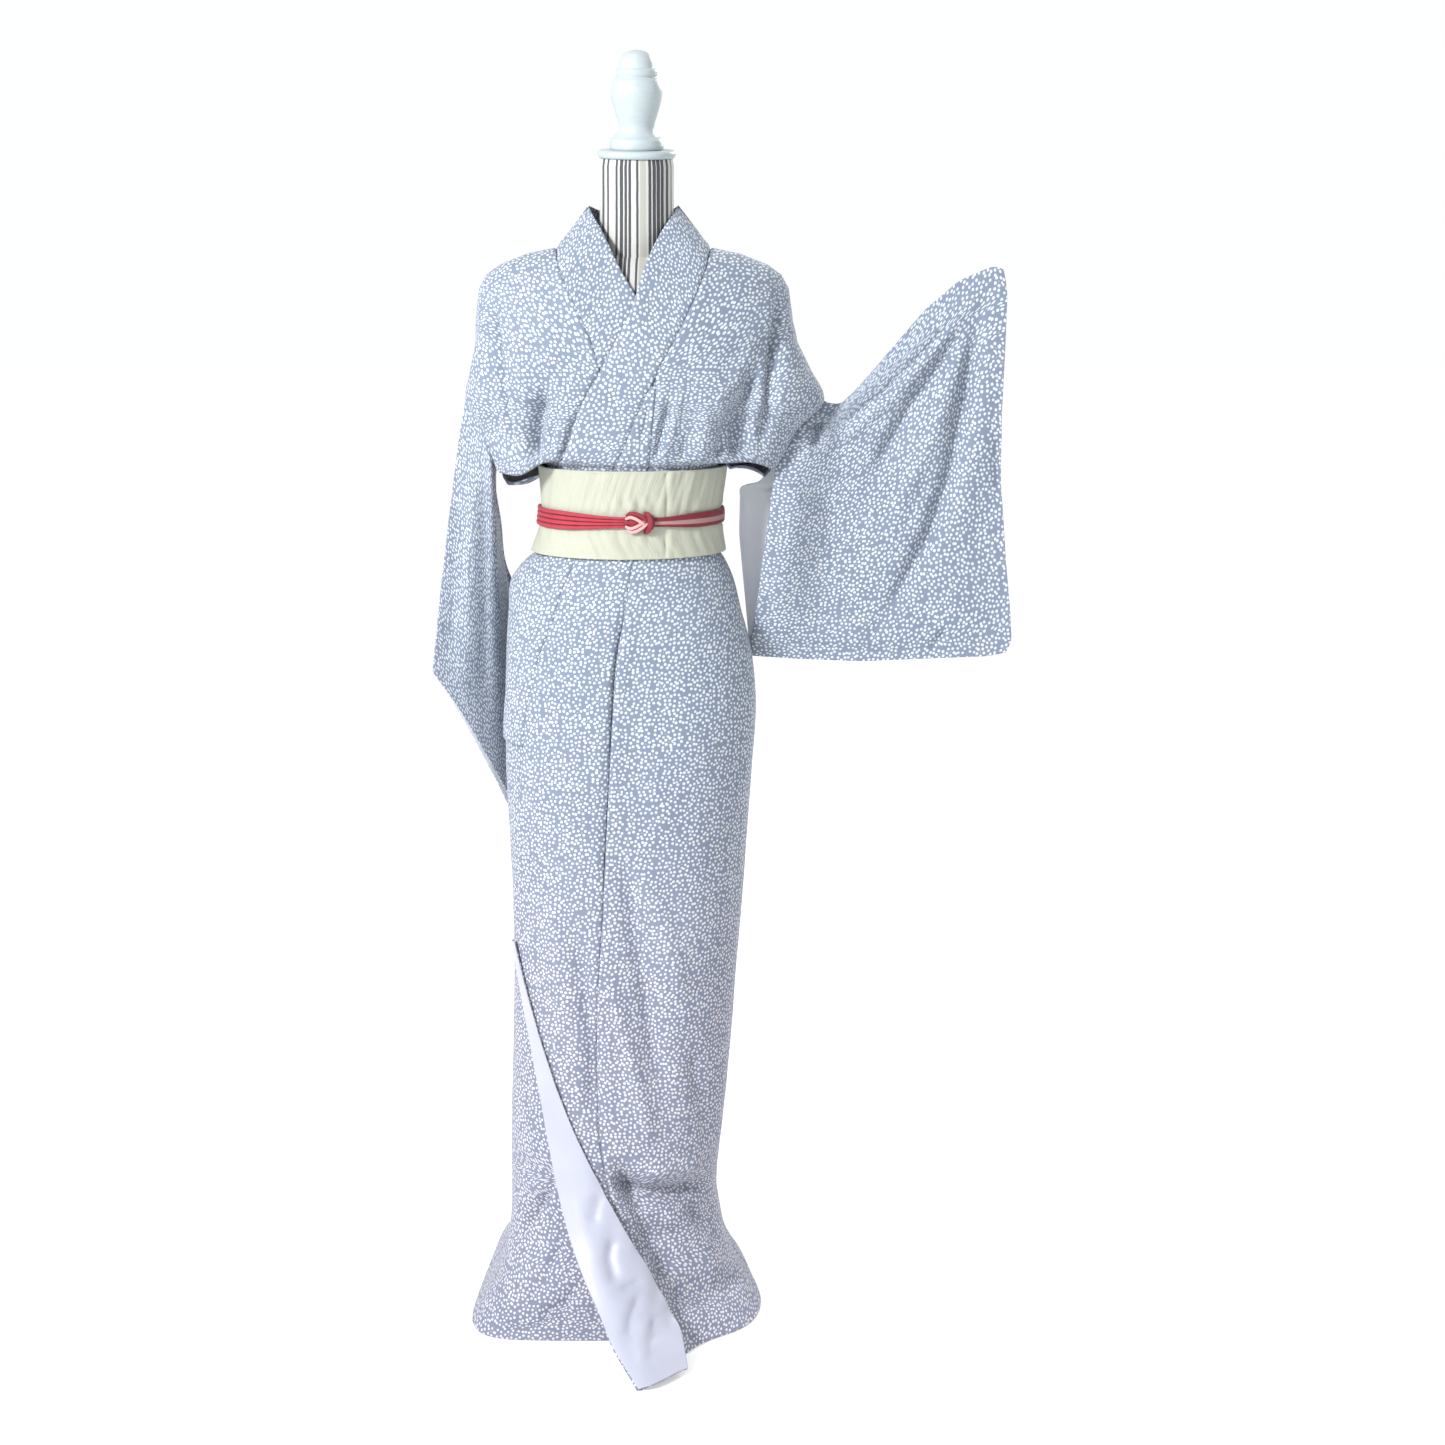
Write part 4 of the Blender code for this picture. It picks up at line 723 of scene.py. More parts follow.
def back_folds(grid):
    out = facing(grid)
    x, z = grid[:, :, 0], grid[:, :, 2]
    moved = 0.0016 * ripples(x, z, 0.13, 3) + 0.0006 * ripples(x, z, 0.05, 4)
    bodice = smooth(z, 1.16, 1.22) * (1 - smooth(z, 1.30, 1.40))
    moved += 0.0014 * np.cos(x * 95) * smooth(z, 0.30, 0.05) + 0.0022 * np.cos(x * 75 + 1) * bodice
    faces = np.clip(out[:, :, 1], 0, 1) ** 0.5
    return grid + out * (moved * calm(z) * faces)[:, :, None]


def dipped(grid, depth=0.0032, reach=0.0030, first=True, last=True, toward=None):
    """The grid with its side edges rolled in and closed on their neighbours, as cloth is at a seam."""
    out = facing(grid, toward)
    across = np.gradient(grid, axis=1)
    across /= np.maximum(np.linalg.norm(across, axis=2, keepdims=True), 1e-9)
    start = run_across(grid)
    end = start[:, -1:] - start
    head = np.clip(1 - start / reach, 0, 1) ** 2 * first
    foot = np.clip(1 - end / reach, 0, 1) ** 2 * last
    made = grid - out * (depth * (head + foot))[:, :, None]
    return made + across * (SEAM / 2 * (foot - head))[:, :, None]


class Tree:
    """Short calls for building a material's nodes."""

    def __init__(self, name, roughness, sheen=0.0, specular=0.4):
        self.material = bpy.data.materials.new(name)
        self.material.use_nodes = True
        self.nodes = self.material.node_tree.nodes
        self.links = self.material.node_tree.links
        self.shader = self.nodes["Principled BSDF"]
        self.shader.inputs["Roughness"].default_value = roughness
        self.shader.inputs["Sheen Weight"].default_value = sheen
        self.shader.inputs["Sheen Roughness"].default_value = 0.5
        self.shader.inputs["Specular IOR Level"].default_value = specular

    def node(self, kind, inputs, **settings):
        made = self.nodes.new(kind)
        for key, value in settings.items():
            setattr(made, key, value)
        for key, value in inputs.items():
            if isinstance(value, bpy.types.NodeSocket):
                self.links.new(value, made.inputs[key])
            else:
                made.inputs[key].default_value = value
        return made

    def math(self, operation, a, b=0.0, c=0.0):
        return self.node("ShaderNodeMath", {0: a, 1: b, 2: c}, operation=operation).outputs[0]

    def times(self, a, b):
        return self.math("MULTIPLY", a, b)

    def times_plus(self, a, b, c):
        return self.math("MULTIPLY_ADD", a, b, c)

    def split(self, vector):
        return self.node("ShaderNodeSeparateXYZ", {0: vector}).outputs

    def vector(self, operation, a, b=(0, 0, 0)):
        made = self.node("ShaderNodeVectorMath", {0: a, 1: b}, operation=operation)
        return made.outputs["Value" if operation == "LENGTH" else "Vector"]

    def mix(self, share, a, b):
        a = (*a, 1) if isinstance(a, tuple) else a
        b = (*b, 1) if isinstance(b, tuple) else b
        return self.node("ShaderNodeMix", {0: share, 6: a, 7: b}, data_type="RGBA").outputs[2]

    def soft(self, value, low, high, start=0.0, end=1.0):
        inputs = {"Value": value, "From Min": low, "From Max": high, "To Min": start, "To Max": end}
        return self.node("ShaderNodeMapRange", inputs, interpolation_type="SMOOTHSTEP").outputs[0]

    def noise(self, vector, scale, detail=2.0, roughness=0.5):
        inputs = {"Vector": vector, "Scale": scale, "Detail": detail, "Roughness": roughness}
        return self.node("ShaderNodeTexNoise", inputs).outputs["Fac"]

    def cells(self, vector, scale, randomness):
        inputs = {"Vector": vector, "Scale": scale, "Randomness": randomness}
        return self.node("ShaderNodeTexVoronoi", inputs, voronoi_dimensions="2D").outputs

    def uv(self):
        return self.node("ShaderNodeUVMap", {}, uv_map="cloth").outputs["UV"]

    def place(self):
        return self.node("ShaderNodeTexCoord", {}).outputs["Object"]

    def stretched(self, vector, x, y, z=1.0):
        return self.vector("MULTIPLY", vector, (x, y, z))

    def finish(self, colour, height=None, depth=0.0003, strength=1.0):
        self.links.new(colour, self.shader.inputs["Base Color"])
        if height is not None:
            sizes = {"Height": height, "Distance": depth, "Strength": strength}
            relief = self.node("ShaderNodeBump", sizes)
            self.links.new(relief.outputs["Normal"], self.shader.inputs["Normal"])
        return self.material


def weave(tree, uv, scale):
    """The threads of a plain cloth, from 0 to 1."""
    split = tree.split(uv)
    one, two = (tree.math("SINE", tree.times(split[i], scale)) for i in (0, 1))
    return tree.times_plus(tree.times(one, two), 0.5, 0.5)


BLOSSOM = 0.0150  # from one blossom to the next
PETAL_AT, PETAL = 0.0050, 0.00178  # how far from its heart its petals are, and their radius
FILL, FILL_DOT = 0.0062, 0.00175  # from one single dot to the next, and their radius
CLEAR = 0.0080  # how far single dots keep from a blossom's heart
EVEN = 0.42  # how unevenly both are spread
DOT_EDGE = 0.00035  # how soft the edge of a dot is
TINT_LOW, TINT_HIGH = 0.30, 0.95  # between these heights the cloth turns a little redder downwards


def blossom_crepe():
    """Blue-grey crepe printed with blossoms of five white dots, and single dots between them."""
    tree = Tree("blossom_crepe", 0.82, sheen=0.1, specular=0.2)
    uv = tree.uv()
    blossom = tree.cells(uv, 1 / BLOSSOM, EVEN)
    place = tree.vector("SUBTRACT", uv, blossom["Position"])
    flat = tree.split(place)
    radius = tree.vector("LENGTH", place)
    random = tree.node("ShaderNodeSeparateColor", {0: blossom["Color"]}).outputs
    angle = tree.math("ARCTAN2", flat[1], flat[0])
    turned = tree.times_plus(random[0], TAU, angle)
    fifth = tree.math("FRACT", tree.times_plus(turned, 5 / TAU, 10.0))
    sector = tree.times(tree.math("SUBTRACT", fifth, 0.5), TAU / 5)
    along_x = tree.times(radius, tree.math("COSINE", sector))
    along_x = tree.math("SUBTRACT", along_x, PETAL_AT)
    along_y = tree.times(radius, tree.math("SINE", sector))
    off = tree.times_plus(along_x, along_x, tree.times(along_y, along_y))
    off = tree.math("SQRT", off)
    size = tree.times_plus(random[1], 0.0004, PETAL - 0.0002)
    petal = tree.soft(tree.math("SUBTRACT", off, size), -DOT_EDGE, DOT_EDGE, 1.0, 0.0)
    single = tree.cells(uv, 1 / FILL, EVEN)
    to_single = tree.vector("LENGTH", tree.vector("SUBTRACT", uv, single["Position"]))
    from_blossom = tree.cells(single["Position"], 1 / BLOSSOM, EVEN)
    clear = tree.vector("LENGTH", tree.vector("SUBTRACT", single["Position"], from_blossom["Position"]))
    dot = tree.soft(to_single, FILL_DOT - DOT_EDGE, FILL_DOT + DOT_EDGE, 1.0, 0.0)
    alone = tree.times(dot, tree.math("GREATER_THAN", clear, CLEAR))
    white = tree.math("MAXIMUM", petal, alone)
    every_other = tree.math("GREATER_THAN", random[2], 0.5)
    heart = tree.times(tree.soft(radius, 0.0008, 0.0012, 1.0, 0.0), every_other)
    shade = tree.noise(uv, 9.0, 3.0)
    ground = tree.mix(shade, (0.132, 0.164, 0.227), (0.172, 0.205, 0.271))
    ground = tree.mix(heart, ground, (0.30, 0.30, 0.27))
    dots = tree.mix(tree.noise(uv, 160.0, 1.0), (0.44, 0.48, 0.522), (0.512, 0.54, 0.563))
    colour = tree.mix(white, ground, dots)
    low_down = tree.soft(tree.split(tree.place())[2], TINT_LOW, TINT_HIGH, 1.0, 0.0)
    tint = tree.mix(low_down, (1.0, 1.0, 1.0), (1.06, 0.965, 0.975))
    inputs = {0: 1.0, 6: colour, 7: tint}
    colour = tree.node("ShaderNodeMix", inputs, data_type="RGBA", blend_type="MULTIPLY").outputs[2]
    crinkle = tree.noise(tree.stretched(uv, 1.0, 0.6), 620.0, 2.0, 0.6)
    height = tree.times_plus(weave(tree, uv, TAU / 0.0009), 0.35, crinkle)
    return tree.finish(colour, height, 0.00035, 0.55)


def silk(name, light, dark):
    """Plain lining silk with a fine weave and slight slubs."""
    tree = Tree(name, 0.42, sheen=0.25, specular=0.45)
    uv = tree.uv()
    slub = tree.noise(tree.stretched(uv, 60.0, 900.0), 1.0, 2.0)
    colour = tree.mix(tree.noise(uv, 14.0, 3.0), dark, light)
    colour = tree.mix(tree.times(slub, 0.16), colour, dark)
    height = tree.times_plus(weave(tree, uv, TAU / 0.0006), 0.3, slub)
    return tree.finish(colour, height, 0.00012, 0.5)


def obi_crepe():
    """Pale green-cream crepe, crinkled up and down."""
    tree = Tree("obi_crepe", 0.62, sheen=0.2, specular=0.35)
    uv = tree.uv()
    crinkle = tree.noise(tree.stretched(uv, 430.0, 26.0), 1.0, 3.0, 0.6)
    finer = tree.noise(tree.stretched(uv, 1500.0, 130.0), 1.0, 2.0)
    colour = tree.mix(tree.noise(uv, 18.0, 3.0), (0.305, 0.320, 0.258), (0.362, 0.374, 0.306))
    colour = tree.mix(tree.times(crinkle, 0.30), colour, (0.400, 0.411, 0.345))
    height = tree.times_plus(crinkle, 1.0, tree.times(finer, 0.35))
    return tree.finish(colour, height, 0.0011, 0.8)


def braid(name, stripe=None, light=1.0):
    """Braided silk cord: u runs along it and v across; stripe is where the pink run lies, and light
    scales its whole colour as painted light and shade.
    """
    tree = Tree(name, 0.55, sheen=0.05, specular=0.3)
    uv = tree.uv()
    along, across = tree.split(uv)[:2]
    slant = tree.math("ABSOLUTE", tree.math("SINE", tree.times(across, TAU / 0.0052)))
    rows = tree.times_plus(slant, 0.0011, along)
    plait = tree.math("SINE", tree.times(rows, TAU / 0.0016))
    plait = tree.times_plus(plait, 0.5, 0.5)
    red = tree.mix(tree.noise(uv, 90.0, 2.0), (0.27, 0.015, 0.032), (0.40, 0.040, 0.064))
    red = tree.mix(tree.times(plait, 0.5), red, (0.13, 0.005, 0.012))
    pink = tree.mix(tree.times(plait, 0.35), (0.64, 0.37, 0.37), (0.52, 0.23, 0.25))
    share = 0.0
    if stripe:
        low = tree.soft(across, stripe[0] - 0.0003, stripe[0] + 0.0003)
        high = tree.soft(across, stripe[1] - 0.0003, stripe[1] + 0.0003, 1.0, 0.0)
        share = tree.times(low, high)
    # Painted light and shade: light scales the colour, so copies of one cord read lighter or darker for
    # where they lie under the lamps
    painted_light_colour = tree.vector("MULTIPLY", tree.mix(share, red, pink), (light, light, light))
    return tree.finish(painted_light_colour, plait, 0.0003, 0.8)


# Ticking over the form, in mm from the start of a repeat: slate stripes and beige ones, on cream
TICKING_START, TICKING_REPEAT = -0.0560, 0.1508
CREAM, BEIGE, SLATE = (0.430, 0.440, 0.420), (0.335, 0.340, 0.310), (0.030, 0.034, 0.045)
STRIPES = [
    (0.5, 7.0, SLATE), (13.0, 16.8, SLATE), (27.7, 31.6, SLATE), (34.6, 39.1, SLATE),
    (41.2, 44.7, SLATE), (46.0, 49.5, SLATE), (56.3, 59.0, SLATE), (61.0, 69.3, BEIGE),
    (72.1, 76.4, SLATE), (77.9, 82.5, SLATE), (84.2, 89.2, SLATE), (90.7, 95.8, SLATE),
    (100.0, 105.9, SLATE), (111.9, 116.0, SLATE), (124.0, 132.0, BEIGE),
]
TICKING_SHIFT = 0.004  # of the neck's stripes from its middle


def ticking():
    """Cream cotton ticking with slate stripes in groups and a beige band."""
    tree = Tree("form_ticking", 0.85, sheen=0.1, specular=0.25)
    uv = tree.uv()
    waver = tree.noise(tree.stretched(uv, 30.0, 60.0), 1.0, 1.0)
    aside = tree.split(uv)[0]
    across = tree.times_plus(tree.math("SUBTRACT", waver, 0.5), 0.0006, aside)
    from_start = tree.math("SUBTRACT", across, TICKING_START)
    share = tree.math("FRACT", tree.times(from_start, 1 / TICKING_REPEAT))
    ramp = tree.node("ShaderNodeValToRGB", {0: share})
    ramp.color_ramp.interpolation = "CONSTANT"
    stops = ramp.color_ramp.elements
    while len(stops) > 1:
        stops.remove(stops[-1])
    stops[0].position, stops[0].color = 0.0, (*CREAM, 1)
    for start, end, colour in STRIPES:
        stops.new(start / 1000 / TICKING_REPEAT).color = (*colour, 1)
        stops.new(end / 1000 / TICKING_REPEAT).color = (*CREAM, 1)
    slub = tree.noise(tree.stretched(uv, 900.0, 120.0), 1.0, 2.0)
    colour = tree.mix(tree.times(slub, 0.12), ramp.outputs[0], (0.50, 0.50, 0.47))
    height = tree.times_plus(weave(tree, uv, TAU / 0.0011), 0.5, slub)
    return tree.finish(colour, height, 0.0003, 0.6)


def painted(name, light, dark, roughness, metallic=0.0):
    """Brushed paint with faint streaks and small marks."""
    tree = Tree(name, roughness, specular=0.5)
    tree.shader.inputs["Metallic"].default_value = metallic
    place = tree.place()
    streak = tree.noise(tree.stretched(place, 60.0, 60.0, 260.0), 1.0, 3.0, 0.6)
    mark = tree.soft(tree.noise(place, 55.0, 3.0, 0.65), 0.62, 0.72)
    colour = tree.mix(streak, dark, light)
    colour = tree.mix(tree.times(mark, 0.25), colour, dark)
    rough = tree.times_plus(streak, 0.12, roughness - 0.06)
    tree.links.new(rough, tree.shader.inputs["Roughness"])
    return tree.finish(colour, streak, 0.0003, 0.5)


def mesh_piece(name, points, faces, uv, finish, slot, nodes, inner=None):
    """A mesh that stands for its CAD nodes, with one UV for each point."""
    mesh = bpy.data.meshes.new(name)
    mesh.from_pydata(points.tolist(), [], faces.tolist())
    layer = mesh.uv_layers.new(name="cloth")
    corner = np.empty(len(mesh.loops), dtype=np.int32)
    mesh.loops.foreach_get("vertex_index", corner)
    layer.data.foreach_set("uv", uv[corner].astype(np.float32).ravel())
    mesh.materials.append(finish)
    if inner:
        mesh.materials.append(inner)
    mesh.shade_smooth()
    made = bpy.data.objects.new(name, mesh)
    bpy.context.scene.collection.objects.link(made)
    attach(made, "root")
    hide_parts(*nodes)
    return made


def grid_faces(rows, columns, closed=False):
    index = np.arange(rows * columns).reshape(rows, columns)
    low, high = index[:-1], index[1:]
    corners = [low, np.roll(low, -1, axis=1), np.roll(high, -1, axis=1), high]
    last = columns if closed else columns - 1
    return np.stack([corner[:, :last] for corner in corners], axis=2).reshape(-1, 4)


def cloth_uv(grid, shift):
    """Where each point lies on the flat cloth, in metres: u across from the first edge, v up it."""
    u, v = run_across(grid), run_along(grid[:, grid.shape[1] // 2])
    return np.stack([u + shift[0], np.broadcast_to(v[:, None], u.shape) + shift[1]], axis=2)


def sheet_piece(nodes, grid, finish, slot, held, rests, wall=CLOTH, shift=(0, 0), inner=None,
                toward=None):
    """A sheet of cloth made on a grid of points, which stands for its CAD node or nodes."""
    nodes = [nodes] if isinstance(nodes, str) else nodes
    faces = grid_faces(*grid.shape[:2])
    plain = np.cross(np.gradient(grid, axis=1), np.gradient(grid, axis=0))
    if (facing(grid, toward) * plain).sum() < 0:
        faces = faces[:, ::-1]
    uv = cloth_uv(grid, shift).reshape(-1, 2)
    made = mesh_piece(f"{nodes[0]}_cloth", grid.reshape(-1, 3), faces, uv, finish, slot, nodes, inner)
    wall_of = made.modifiers.new("wall", "SOLIDIFY")
    wall_of.thickness = wall
    wall_of.offset = 0.0
    if inner:
        wall_of.material_offset = 1


STEP, CLOSE, FINE = 0.0055, 0.0048, 0.0040  # usual distances between points of the cloth


def front_rows(side, upper, high, columns, start_of, end_of):
    """Rows of a front cloth from the hem up to a height, between two edges given in degrees."""
    grid = []
    for height in panel_rows(RINGS[0].mid, high):
        ring = ring_at(height)
        gap = side * math.degrees(SEAM / 2 / ring.half)
        start, end = start_of(ring, height, gap), end_of(ring, height, gap)
        shares = [i / columns for i in range(columns + 1)]
        grid.append([front_point(ring, mix(start, end, share), upper) for share in shares])
    return grid


def front_panel(side, upper, columns):
    seam = OKUMI_SEAM if upper else UNDER_OKUMI_SEAM
    collar = COLLAR_SEAM if upper else UNDER_COLLAR_SEAM

    def start(ring, z, gap):
        return angle_at(ring, side * table_at(collar if z > OKUMI_POINT else seam, z)) + gap

    def end(ring, z, gap):
        return side * table_at(ARMHOLE, z)

    return front_rows(side, upper, RIDGE_MID, columns, start, end)


def back_panel(side, columns):
    grid = []
    for height in panel_rows(RINGS[0].mid, RIDGE_MID):
        ring = ring_at(height)
        gap = math.degrees(SEAM / 2 / ring.half)
        middle = math.degrees(math.asin(table_at(BACK_NECK, ring.dome) / ring.half)) + gap
        start = 180 + SIDE_GAP - table_at(ARMHOLE, height)
        turns = [mix(start, 180 - middle, i / columns) for i in range(columns + 1)]
        grid.append([ring_point(ring, side * turn) for turn in turns])
    return grid


def okumi(side, upper, columns):
    seam = OKUMI_SEAM if upper else UNDER_OKUMI_SEAM
    grid = front_rows(
        side, upper, RINGS[-len(RISES)].mid, columns,
        lambda ring, z, gap: angle_at(ring, side * table_at(seam, z)) - gap,
        lambda ring, z, gap: angle_at(ring, side * okumi_edge(z, upper)) + gap,
    )
    grid.pop()
    tip = grid.pop()
    grid.append([low.lerp(high, 0.5) for low, high in zip(grid[-1], tip)])
    return grid


def upper_facing(x, height, reach=0.004):
    """The way that the upper front faces at a place."""
    across = upper_surface(x + reach, height) - upper_surface(x - reach, height)
    up = upper_surface(x, height + reach) - upper_surface(x, height - reach)
    return across.cross(up).normalized()


def turned_corner():
    """Points of the okumi's lower corner, folded back over the upper front."""
    grid = []
    for height in panel_rows(RINGS[0].mid, TURN_TOP):
        row = []
        for i in range(7):
            share = i / 6
            x = mix(turned_at(height, "fold"), turned_at(height, "edge"), share)
            low = 1 - step(height, *TURN_LOW)
            swell = TURN_SWELL * math.sin(share * 3 * math.pi / 4)
            lift = CLOTH + REST + swell + low * mix(FOLD_LIFT, TURN_LIFT, min(1.0, 3 * share))
            away = upper_facing(x, max(height, RINGS[1].mid))
            point = upper_surface(x, height) + away * lift
            point.y -= turned_at(height, "stand") * share**STAND_CURVE
            row.append(point)
        grid.append(row)
    return grid


def collar_side(side, upper):
    seam_table = COLLAR_SEAM if upper else UNDER_COLLAR_SEAM
    grid = []
    for height in panel_rows(COLLAR_END, RIDGE_MID):
        ring = ring_at(height)
        gap = side * math.degrees(SEAM / 2 / ring.half)
        seam = front_point(ring, angle_at(ring, side * table_at(seam_table, height)) - gap, upper)
        edge_x, edge_z, edge_y = collar_edge(UPPER_COLLAR if upper else UNDER_COLLAR, height)
        if edge_y is None:
            row = [seam]
            for i in (1, 2, 3):
                x = mix(seam.x, side * edge_x, i / 3)
                if height < 1.20:
                    row.append(front_point(ring, angle_at(ring, x), upper))
                else:
                    row.append(on_front(x, mix(seam.z, edge_z, i / 3), upper))
        else:
            edge = Vector((side * edge_x, edge_y - (upper_out(ring, 0) if upper else 0), edge_z))
            near = seam.lerp(edge, COLLAR_GAP / (edge - seam).length)
            row = [near.lerp(edge, i / 3) for i in range(4)]
        grid.append(row)
    return grid


def collar_back():
    grid = []
    halves = [(-1, row) for row in reversed(BACK_COLLAR)] + [(1, row) for row in BACK_COLLAR[1:]]
    for side, row in halves:
        ring = ring_at(DOME_BASE + (RIDGE_MID - DOME_BASE) * row.rise)
        seam = ring_point(ring, side * (180 - math.degrees(math.asin(row.seam / ring.half))))
        edge = Vector((side * row.edge_x, row.edge_y, row.edge_z))
        near = seam.lerp(edge, SEAM / (edge - seam).length)
        grid.append([near.lerp(edge, i / 3) for i in range(4)])
    return grid


def hanging_wall(face):
    grid = []
    for k in range(HANG_ROWS):
        drop = k / (HANG_ROWS - 1)
        reach = drop**HANG_CURVE
        row = []
        for i, here in enumerate(HANGING):
            top_y = here.front_y if face < 0 else here.back_y
            plan = Vector((mix(here.top_x, here.x, reach), mix(top_y, here.y, reach)))
            room = step(here.depth, *HANG_OPEN) * (1 - step(here.depth, *HANG_CLOSE))
            room *= 1 - step(drop, 0.80, 1.0) * step(here.depth, *HANG_BOTTOM)
            if HANG_SEWN[0] < here.depth < HANG_SEWN[1]:
                room *= mix(0.1, 1.0, reach)
            apart = CLOTH / 2 + REST / 2 + HANG_ROOM * room
            aside = hang_aside(i, True).lerp(hang_aside(i, False), reach) * (-face) * apart
            height = mix(here.top, here.bottom, drop) - HANG_TOP_GAP * (1 - drop)
            row.append(Vector((plan.x + aside.x, plan.y + aside.y, height)))
        if k == 0:
            grid.append([point + Vector((0.0015, -0.0015 * face, 0.006)) for point in row])
        grid.append(row)
    return grid


def sleeve_folds(grid, lines, uneven, top, bottom):
    """A sleeve's folds, calm between two shares at its top and two at its bottom.

    Both walls move alike, so it stays open.
    """
    x, z = grid[:, :, 0], grid[:, :, 2]
    down = np.linspace(0, 1, len(grid))[:, None]
    made = grid.copy()
    loose = smooth(down, *top) * (1 - smooth(down, *bottom))
    made[:, :, 1] -= (crease_moves(x, z, lines) + uneven) * loose
    return made


def spread_folds(grid):
    uneven = 0.0012 * ripples(grid[:, :, 0], grid[:, :, 2], 0.12, 5)
    return sleeve_folds(grid, SPREAD_CREASES, uneven, (0.015, 0.10), (0.93, 1.0))


def hang_folds(grid):
    uneven = 0.0010 * ripples(grid[:, :, 0] + grid[:, :, 1], grid[:, :, 2], 0.12, 6)
    return sleeve_folds(grid, HANG_CREASES, uneven, (0.02, 0.14), (0.92, 1.0))


def round_obi(height, degrees, out):
    return ring_point(ring_at(height), degrees, obi_out() + OBI_WALL / 2 + out)


def obi_grid():
    grid = []
    for level in OBI_LEVELS:
        ring = ring_at(level)
        row = []
        for i in range(OBI_FINE + 1):
            turned = OBI_TURN * i / OBI_FINE
            lap = OBI_LAP * step(turned, OBI_TURN - 42, OBI_TURN - 22)
            row.append(ring_point(ring, 174 - turned, obi_out() + lap))
        grid.append(row)
    return grid


WRINKLES = 9  # sets of fine wrinkles, each wider than the one before
OBI_FOLD, OBI_FOLD_LEAN = 0.043, 0.02  # place aside of the fold beside the knot, and how it leans
CORD_SWELL, CORD_SWELL_AT = 0.0009, 0.017  # how far the obi swells beside the cord, and how far from it
PUFFS_AT, PUFFS_APART = 0.004, 0.019  # place aside of the puffs that the knot pinches, and their spacing
CORD_BED = (0.0100, 0.0145)  # from the cord's middle, between which the wrinkles come out from under it


def obi_wrinkles(grid):
    """Fine upright wrinkles, the fold to the wearer's left of the knot, and the pinch of the cord."""
    out = facing(grid)
    u, z = run_across(grid), grid[:, :, 2]
    moved = np.zeros(z.shape)
    for i in range(WRINKLES):
        size = TAU / (0.0075 + 0.0042 * i)
        lean = 0.10 * math.sin(2.3 * i)
        patch = 0.5 + 0.5 * np.sin(u * (9 + 3.1 * i) + z * (14 + 5 * i) + i)
        moved += (0.00034 + 0.00002 * i) * patch * np.sin(size * (u + lean * z) + 1.9 * i)
    front = np.clip(-out[:, :, 1], 0, 1)
    fold = grid[:, :, 0] - OBI_FOLD - OBI_FOLD_LEAN * (z - 1.11)
    moved += front * (0.0012 * bump(fold - 0.006, 0.004) - 0.0022 * bump(fold, 0.0022))
    off, aside = z - CORD_HEIGHT, grid[:, :, 0] - PUFFS_AT
    swell = CORD_SWELL * bump(np.abs(off) - CORD_SWELL_AT, 0.0075)
    moved += swell * (0.6 + 0.4 * np.sin(u * 160))
    puffs = 0.0022 * bump(off - 0.021, 0.010) + 0.0012 * bump(off + 0.022, 0.012)
    moved += front * puffs * bump(aside, 0.032) * np.cos(TAU * (aside + 0.25 * off) / PUFFS_APART)
    under = smooth(np.abs(off), *CORD_BED)
    edge = smooth(z, OBI_LEVELS[0], 1.0600) * (1 - smooth(z, 1.1650, OBI_LEVELS[-1]))
    moved *= np.where(moved > 0, under * (0.3 + 0.7 * edge), edge)
    return grid + out * moved[:, :, None]


def tube_points(line, radius, around, wide, up=(0, 0, 1), lying=False):
    """Points round the line of a flat cord whose half height is wide, and their UVs.

    The v of its UVs runs across it. It is lying when radius is its half width.
    """
    line = np.array(line)
    along = np.gradient(line, axis=0)
    along /= np.linalg.norm(along, axis=1, keepdims=True)
    side = np.cross(along, np.array(up, dtype=float))
    side /= np.linalg.norm(side, axis=1, keepdims=True)
    over = np.cross(side, along)
    angle = np.linspace(0, TAU, around + 1)
    c, s = (np.sign(turn) * np.abs(turn) ** CORD_SQUARE for turn in (np.cos(angle), np.sin(angle)))
    size, tall = (np.broadcast_to(half, (len(line),))[:, None, None] for half in (radius, wide))
    grid = line[:, None] + side[:, None] * (c[None, :, None] * size)
    grid = grid + over[:, None] * (s[None, :, None] * tall)
    v = np.broadcast_to(c * size.max() if lying else s * tall.max(), grid.shape[:2])
    return grid, np.stack([np.broadcast_to(run_along(line)[:, None], v.shape), v], axis=2)


END_DRAWN = 0.02  # how much of its width is left at the tip of a tube


def tubes(name, lines, finish, slot, nodes):
    """One piece of several tubes, each a grid of points with its UVs; ends are drawn in to a point."""
    points, faces, uvs, start = [], [], [], 0
    for grid, uv in lines:
        ends = [end.mean(axis=0) + (end - end.mean(axis=0)) * END_DRAWN for end in (grid[0], grid[-1])]
        grid = np.concatenate([[ends[0]], grid, [ends[1]]])
        uv = np.concatenate([uv[:1], uv, uv[-1:]])
        rows, columns = grid.shape[:2]
        faces.append(grid_faces(rows, columns) + start)
        points.append(grid.reshape(-1, 3))
        uvs.append(uv.reshape(-1, 2))
        start += rows * columns
    every = [np.concatenate(part) for part in (points, faces, uvs)]
    return mesh_piece(name, *every, finish, slot, nodes)


TURNED_COLUMNS = 97  # round a turned piece and the neck
COVER_COLUMNS = 128  # round the torso
NECK_ROWS = 26


def lean_of_neck():
    return (NECK_TOP - NECK_FOOT).to_track_quat("Z", "Y")


